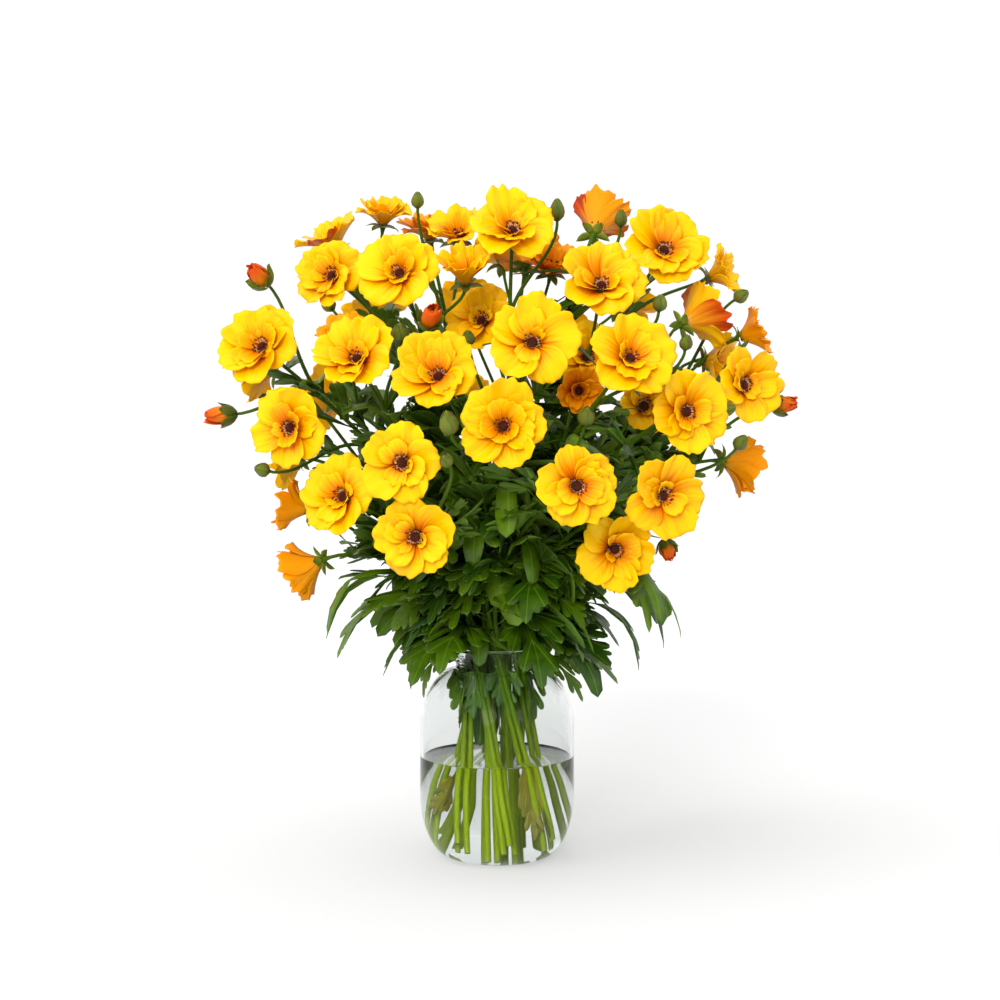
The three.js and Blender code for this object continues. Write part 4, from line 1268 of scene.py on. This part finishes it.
# %% The leaves of the frame
LeafPlan = namedtuple("LeafPlan", "kind root heading length half rise fall roll", defaults=[0.0])
LEAF_PLACES = [
    ("lobed", 0, (92, 122), (24, 31), (0, 40), (-80, -35)),
    ("lobed", 1, (88, 116), (23, 30), (10, 50), (-60, -10)),
    ("lobed", 2, (74, 100), (19, 25), (25, 60), (-35, 15)),
    ("strap", 3, (50, 72), (5, 7), (35, 70), (-15, 35)),
]
TRIES = 8
PAST_JOINT = 0.55
TIP_MATCH = 0.4


def source_draws(state=20240):
    """The CAD source's fixed sequence of numbers between 0 and 1."""
    while True:
        state = (state * 1664525 + 1013904223) % 4294967296
        yield state / 4294967296


def sloping(heading, angle):
    """The unit vector with a heading round the bunch and an angle upwards."""
    return np.array([
        math.cos(heading) * math.cos(angle), math.sin(heading) * math.cos(angle), math.sin(angle)])


def midrib(plan):
    """The root, knee and tip of a leaf's middle line."""
    knee = plan.root + sloping(plan.heading, math.radians(plan.rise)) * plan.length / 2
    return plan.root, knee, knee + sloping(plan.heading, math.radians(plan.fall)) * plan.length / 2


def corners_of(node):
    """A KD-tree of a frame part's corners, in millimetres."""
    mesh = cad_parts[node].data
    tree = KDTree(len(mesh.vertices))
    for k, vertex in enumerate(mesh.vertices):
        tree.insert(vertex.co / MM, k)
    tree.balance()
    return tree


draws = source_draws()


def between(low, high):
    """The next draw of the fixed sequence, between two limits."""
    return low + (high - low) * next(draws)


def kept_leaves(spray):
    """The leaves that the CAD source kept on a spray."""
    corners = corners_of("spray_" + spray.name)
    leaves = []
    for _, _, joints in LEADERS[spray.name]:
        for kind, joint, length, half, rise, fall in LEAF_PLACES:
            root = joints[joint] + (joints[joint + 1] - joints[joint]) * PAST_JOINT
            outward = math.atan2(root[1], root[0])
            tries = [LeafPlan(kind, root, outward + math.radians(between(-80, 80)), between(*length),
                              between(*half), between(*rise), between(*fall)) for _ in range(TRIES)]
            kept = [plan for plan in tries if corners.find(midrib(plan)[2])[2] < TIP_MATCH]
            leaves += kept[:1]
    return leaves


FRAME_LEAVES = {spray.name: kept_leaves(spray) for spray in SPRAYS}
print("leaves in the frame:", sum(len(leaves) for leaves in FRAME_LEAVES.values()))

# %% [markdown]
# A real bunch has several hundred leaves, far more than the solids hold. The rest are grown here from the
# same stems: big lobed ones low down that droop over the neck, smaller ones higher up, and narrow bracts
# under the blooms and at every fork. A leaf is kept if it stays out of the glass, out of the blooms and
# the space in front of them, and inside the CAD model's box. A window in front of the jar's rim stays clear
# too, because the photograph shows the stems there.

# %% Growing more leaves
GROWTH = [
    ("lobed", (0.03, 0.16), (84, 122), (20, 29), (-5, 45), (-100, -55), 4),
    ("strap", (0.05, 0.3), (76, 112), (7.5, 11), (0, 55), (-100, -50), 3),
    ("lobed", (0.12, 0.36), (76, 114), (19, 27), (10, 60), (-85, -15), 4),
    ("lobed", (0.34, 0.62), (60, 92), (17, 25), (20, 70), (-50, 30), 4),
    ("strap", (0.3, 0.7), (60, 105), (6, 9), (10, 75), (-80, 30), 3),
    ("lobed", (0.58, 0.82), (44, 70), (12, 18), (20, 80), (-40, 50), 3),
    ("strap", (0.6, 0.94), (40, 78), (4.5, 7.5), (10, 80), (-60, 60), 6),
]
GROWTH_DRAWS = 300
GROWTH_TRIES = 6
GROWTH_STEPS = 60
FAN, BRACT_FAN = 1.9, 0.7
LARGEST_ROLL = 0.9
BOX_CLEAR = 2
BLOOM_CLEAR_BEHIND = 3
BLOOM_CLEAR_AHEAD = 42
JAR_CLEAR = 1.5
WINDOW_HALF = 42
WINDOW_TOP = 215
OUTLINE_STEPS = 8
BOX_LOW, BOX_HIGH = (np.array(corner) / MM for corner in CAD_BOX)

all_tips = [tip for _, tip in bloom_tips] + [shoot.tip for _, shoot in HIDDEN_SHOOTS]
bloom_places = np.array([[tip.x, tip.y, tip.z] for tip in all_tips], float)
bloom_axes = np.array([looking(tip.yaw, tip.pitch) for tip in all_tips])
bloom_radii = np.array([tip.width / 2 for tip in all_tips])
JAR_OUTLINE = np.concatenate([
    quarter(FOOT_RADIUS, 0, BODY_RADIUS, CORNER_TOP, OUTLINE_STEPS, True),
    quarter(BODY_RADIUS, SHOULDER_FOOT, NECK_RADIUS + 1, SHOULDER_TOP, OUTLINE_STEPS, False),
    [[NECK_RADIUS + 2, RIM_HEIGHT - 9], [RIM_RADIUS, RIM_HEIGHT - 3], [RIM_RADIUS, RIM_HEIGHT + 1]],
])


def leaf_frame(plan, t):
    """The middle line, the sideways and the upward directions of a leaf at shares t of its length."""
    root, knee, end = midrib(plan)
    middle = (1 - t) ** 2 * root + 2 * (1 - t) * t * knee + t ** 2 * end
    tangent = (1 - t) * (knee - root) + t * (end - knee)
    level = np.array([-math.sin(plan.heading), math.cos(plan.heading), 0])
    upward = np.cross(tangent, level)
    upward = upward / np.linalg.norm(upward, axis=1, keepdims=True)
    turned_by = plan.roll * np.minimum(t / 0.35, 1)
    side = level * np.cos(turned_by) + upward * np.sin(turned_by)
    return middle, side, upward * np.cos(turned_by) - level * np.sin(turned_by)


def leaf_samples(plan):
    """Points down the middle and both sides of a leaf, to test where it lies."""
    middle, side, _ = leaf_frame(plan, np.array([[0.25], [0.4], [0.55], [0.7], [0.85], [1]]))
    return np.concatenate([middle + side * plan.half * v for v in (-0.8, 0, 0.8)])


def has_room(plan):
    """True if a leaf stays out of the jar's glass and the blooms, and inside the box."""
    points = leaf_samples(plan)
    if (points < BOX_LOW + BOX_CLEAR).any() or (points > BOX_HIGH - BOX_CLEAR).any():
        return False
    in_window = (np.abs(points[:, 0]) < WINDOW_HALF) & (points[:, 1] < 0) & (points[:, 2] < WINDOW_TOP)
    if in_window.any():
        return False
    outward = np.hypot(points[:, 0], points[:, 1])
    glass = np.interp(points[:, 2], JAR_OUTLINE[:, 1], JAR_OUTLINE[:, 0])
    if ((points[:, 2] < RIM_HEIGHT + 2) & (outward < glass + JAR_CLEAR)).any():
        return False
    offset = points[:, None, :] - bloom_places[None]
    ahead = (offset * bloom_axes[None]).sum(-1)
    aside = np.linalg.norm(offset - ahead[..., None] * bloom_axes[None], axis=-1)
    inside = (aside < bloom_radii + 1) & (ahead > -BLOOM_CLEAR_BEHIND) & (ahead < BLOOM_CLEAR_AHEAD)
    return not inside.any()


def grown_leaves(spray, rng):
    """More leaves on a spray's stems, and a bract at each fork."""
    leaves = []

    def try_leaf(kind, root, heading, fan, length, half, rise, fall):
        """Draws a leaf until one has room, or gives up."""
        for _ in range(GROWTH_TRIES):
            plan = LeafPlan(kind, root, heading + rng.uniform(-fan, fan), rng.uniform(*length),
                            rng.uniform(*half), rng.uniform(*rise), rng.uniform(*fall),
                            rng.uniform(-LARGEST_ROLL, LARGEST_ROLL))
            if has_room(plan):
                leaves.append(plan)
                return

    for _, route, _ in LEADERS[spray.name]:
        line = spaced(route, GROWTH_STEPS)
        for kind, where, length, half, rise, fall, count in GROWTH:
            for _ in range(count):
                root = line[int(rng.uniform(*where) * GROWTH_STEPS)]
                try_leaf(kind, root, math.atan2(root[1], root[0]), FAN, length, half, rise, fall)
    for shoot in spray.shoots:
        root = LEADERS[spray.name][shoot.stem][2][shoot.joint]
        onward = math.atan2(shoot.tip.y - root[1], shoot.tip.x - root[0])
        try_leaf("strap", root, onward, BRACT_FAN, (34, 60), (4, 6.5), (20, 70), (-30, 50))
    return leaves


GROWN_LEAVES = {
    spray.name: grown_leaves(spray, seeded(GROWTH_DRAWS, k)) for k, spray in enumerate(SPRAYS)}
print("leaves grown here:", sum(len(leaves) for leaves in GROWN_LEAVES.values()))

# %% [markdown]
# Not every leaf was stripped from the stems. Some are caught in the neck and hang down inside the jar, narrow
# ones hang over the rim, long ones arch down at the sides, and three have slipped under water and browned.
# They are listed one by one after the photograph: where round the jar they start (0 at the viewer's side,
# towards the right), how far from its axis, how high, and their length, half width, two slopes and roll.

# %% Leaves at the neck
NeckLeaf = namedtuple("NeckLeaf", "spray kind round away z length half rise fall roll")
NECK_LEAVES = [
    NeckLeaf("front", "strap", -14, 30, 206, 70, 8, 12, -86, 0.3),
    NeckLeaf("front", "strap", 2, 34, 264, 88, 11, 12, -88, 0.2),
    NeckLeaf("front", "strap", -10, 66, 300, 96, 9, 20, -88, 0.3),
    NeckLeaf("front", "strap", 16, 60, 290, 92, 8, 10, -86, -0.3),
    NeckLeaf("front", "strap", 32, 60, 330, 104, 9, 20, -85, 0.2),
    NeckLeaf("front", "strap", 4, 84, 344, 108, 9, 5, -88, 0.1),
    NeckLeaf("front_left", "strap", -34, 58, 320, 98, 9, 15, -86, -0.2),
    NeckLeaf("front_left", "lobed", -50, 40, 194, 78, 12, -6, -84, 0.1),
    NeckLeaf("front_right", "lobed", 62, 38, 192, 68, 13, -32, -60, 0.2),
    NeckLeaf("front_right", "strap", 50, 112, 258, 130, 7, 24, -84, 0.3),
    NeckLeaf("front_right", "strap", 60, 110, 250, 122, 6.5, 16, -80, -0.4),
    NeckLeaf("front_left", "strap", -52, 112, 262, 122, 6.5, 10, -84, 0.3),
    NeckLeaf("left", "lobed", -74, 76, 250, 136, 19, 12, -80, 0.2),
    NeckLeaf("left", "lobed", -92, 66, 230, 124, 18, 6, -78, -0.3),
    NeckLeaf("right", "lobed", 80, 70, 244, 140, 19, 14, -82, 0.2),
    NeckLeaf("right", "lobed", 66, 64, 230, 130, 18, 6, -84, -0.2),
    NeckLeaf("front_right", "lobed", 54, 84, 262, 140, 18, 18, -84, 0.4),
    NeckLeaf("front", "strap", -38, 30, 200, 62, 7, 18, -72, -0.4),
    NeckLeaf("front_left", "lobed", -66, 24, 190, 76, 17, -78, -86, 0.5),
    NeckLeaf("front_left", "lobed", -40, 25, 184, 58, 14, -80, -84, -0.5),
    NeckLeaf("left", "lobed", -100, 22, 188, 70, 15, -74, -88, 1.0),
    NeckLeaf("front_right", "lobed", 62, 24, 188, 72, 16, -78, -86, -0.4),
    NeckLeaf("front_right", "lobed", 24, 20, 180, 48, 13, -82, -86, 0.6),
    NeckLeaf("right", "lobed", 104, 24, 186, 66, 15, -78, -84, -0.9),
    NeckLeaf("rear_left", "lobed", -160, 22, 184, 60, 16, -80, -86, 0.5),
    NeckLeaf("rear_right", "lobed", 158, 22, 186, 72, 16, -80, -86, -0.5),
    NeckLeaf("front", "lobed", 4, 22, 182, 44, 12, -84, -86, -0.2),
    NeckLeaf("left", "strap", -120, 12, 180, 84, 7, -84, -88, 0.8),
    NeckLeaf("rear_left", "strap", 170, 10, 178, 80, 8, -84, -88, 1.2),
    NeckLeaf("rear_right", "strap", 140, 14, 180, 88, 7, -84, -88, 0.9),
    NeckLeaf("right", "strap", 100, 12, 182, 84, 7, -84, -88, 0.6),
]
DROWNED_LEAVES = [
    NeckLeaf("left", "lobed", -70, 26, 66, 40, 12, -40, -20, 1.3),
    NeckLeaf("front_right", "lobed", 44, 30, 86, 66, 11, -74, -84, 0.5),
    NeckLeaf("front_right", "lobed", 58, 34, 62, 48, 12, -62, -80, -0.6),
]


def placed_leaves(spray, places):
    """The listed leaves of one spray."""
    leaves = []
    for leaf in places:
        if leaf.spray == spray.name:
            heading = math.radians(leaf.round - 90)
            root = np.array([leaf.away * math.cos(heading), leaf.away * math.sin(heading), leaf.z])
            leaves.append(LeafPlan(
                leaf.kind, root, heading, leaf.length, leaf.half, leaf.rise, leaf.fall, leaf.roll))
    return leaves


print("leaves at the neck:", len(NECK_LEAVES), "- under water:", len(DROWNED_LEAVES))

# %% [markdown]
# Hanging a leaf means bending its flat pattern along the middle line: each point keeps its share of the
# length and of the width. The sides are folded up from the middle, the fingers' tips curl down, and a slow
# wave runs through the blade, so that no two leaves catch the light alike.

# %% Hanging the leaves
HANGING_DRAWS = 400
LEAF_SKIN = 0.35
LEAF_FINISHES = [leaf_face, leaf_back, drowned_leaf, drowned_leaf]
FRESH, DROWNED = 0, 2


def hang_leaf(gathering, plan, pattern, rng, finish):
    """Bends a flat leaf pattern along its plan's middle line."""
    t = np.clip(pattern.points[:, :1], 0, 1.02)
    v = pattern.points[:, 1:]
    middle, side, normal = leaf_frame(plan, t)
    fold = 0.2 * np.abs(v) * plan.half
    wave = 0.1 * plan.half * t * np.sin(t * rng.uniform(5, 9) + v * rng.uniform(-3, 3) + rng.uniform(0, 6))
    curl = rng.uniform(0, 0.3) * plan.half * np.abs(v) ** 2.5
    points = middle + side * v * plan.half + normal * (fold + wave - curl)
    tone = (rng.uniform(-0.45, 0.35), 0, 0)
    gathering.add_sheet(points, pattern.faces, pattern.rim, pattern.uvs, tone, finish, LEAF_SKIN)


for k, spray in enumerate(SPRAYS):
    foliage = Gathering()
    rng = seeded(HANGING_DRAWS, k)
    fresh = FRAME_LEAVES[spray.name] + GROWN_LEAVES[spray.name] + placed_leaves(spray, NECK_LEAVES)
    drowned = placed_leaves(spray, DROWNED_LEAVES)
    for plan, finish in [(plan, FRESH) for plan in fresh] + [(plan, DROWNED) for plan in drowned]:
        patterns = LOBED_PATTERNS if plan.kind == "lobed" else STRAP_PATTERNS
        hang_leaf(foliage, plan, patterns[rng.integers(len(patterns))], rng, finish)
    foliage.make("leaves_" + spray.name, LEAF_FINISHES, "green")
    print("leaf faces on spray", spray.name, len(foliage.faces))

# %% [markdown]
# The studio: a pale floor that runs out of sight, a white world as the big tent of cloth that photographers
# put round glass, and two broad lamps. The key lamp stands low at the viewer's left and lights the blooms'
# faces. The wider one overhead lays the soft shadow on the right. Neither is seen in reflections, where it
# would show as a round spot on the jar. A tent has an opening for the camera, which is darker. It is modelled
# here too: without it, white light would glance off the glass and every petal straight into the lens, and
# grey them. The view transform stays on Standard, because a filmic curve would dull the yellow.

# %% Floor and light
WORLD_LIGHT = 1.05
CAMERA_SIDE_LIGHT = 0.8
OPENING_MIDDLE, OPENING_EDGE = -0.85, -0.35
FLOOR_SIZE = 40.0

floor_paper, floor_tree = new_finish("white_studio_paper")
paper = add_node(floor_tree, "BsdfPrincipled", values={"Base Color": linear("#D9D9D9"), "Roughness": 0.9})
add_node(floor_tree, "OutputMaterial", links={"Surface": paper.outputs[0]})
bpy.ops.mesh.primitive_plane_add(size=FLOOR_SIZE)
floor = bpy.context.object
floor.name = "studio_floor"
floor.data.materials.append(floor_paper)

world = bpy.data.worlds.new("white_tent")
bpy.context.scene.world = world
world.use_nodes = True
tent = world.node_tree
tent.nodes.clear()
direction = add_node(tent, "TexCoord")
seen = add_node(tent, "SeparateXYZ", links={0: direction.outputs["Generated"]})
opening = add_node(tent, "MapRange", interpolation_type="SMOOTHSTEP", links={"Value": seen.outputs[1]},
                   values={"From Min": OPENING_MIDDLE, "From Max": OPENING_EDGE,
                           "To Min": CAMERA_SIDE_LIGHT, "To Max": WORLD_LIGHT})
cloth = add_node(tent, "Background", values={"Color": linear("#FFFFFF")},
                 links={"Strength": opening.outputs[0]})
add_node(tent, "OutputWorld", links={"Surface": cloth.outputs[0]})


def distant_lamp(name, heading, strength, spread):
    """A broad lamp so far off that its light comes from one direction. spread is its width in degrees."""
    light = bpy.data.lights.new(name, "SUN")
    light.energy = strength
    light.angle = math.radians(spread)
    lamp = bpy.data.objects.new(name, light)
    lamp.rotation_euler = Vector(heading).to_track_quat("-Z", "Y").to_euler()
    lamp.visible_glossy = False
    bpy.context.collection.objects.link(lamp)


distant_lamp("key_lamp", heading=(0.24, 1.0, -0.42), strength=2.2, spread=26)
distant_lamp("top_lamp", heading=(0.5, 0.45, -0.9), strength=1.3, spread=60)
bpy.context.scene.view_settings.view_transform = "Standard"
print("tent light:", WORLD_LIGHT, "- at its opening:", CAMERA_SIDE_LIGHT)

# %% [markdown]
# The camera stands 1.8 m in front of the jar, 430 mm above the table, and looks slightly down, as the
# ellipses of the jar's rim and water show. Its focal length makes the jar as wide as in the photograph.

# %% Camera
CAMERA_DISTANCE = 1.8
CAMERA_HEIGHT = 0.43
CAMERA_PITCH = math.radians(3.59)
FOCAL_PIXELS = 2045
IMAGE_PIXELS = 1000
CENTRE_PIXEL = 497

camera_data = bpy.data.cameras.new("camera")
camera_data.sensor_width = 36
camera_data.lens = FOCAL_PIXELS * camera_data.sensor_width / IMAGE_PIXELS
camera_data.shift_x = (IMAGE_PIXELS / 2 - CENTRE_PIXEL) / IMAGE_PIXELS
camera = bpy.data.objects.new("camera", camera_data)
camera.location = (0, -CAMERA_DISTANCE, CAMERA_HEIGHT)
camera.rotation_euler = (math.pi / 2 - CAMERA_PITCH, 0, 0)
bpy.context.collection.objects.link(camera)
bpy.context.scene.camera = camera
print("focal length in mm:", round(camera_data.lens, 2))

# %% [markdown]
# Dressing a model must not change its size. The CAD model's box, from the first cell, is written down.

# %% Sizes and finish
print("CAD box:", [list(c) for c in CAD_BOX])
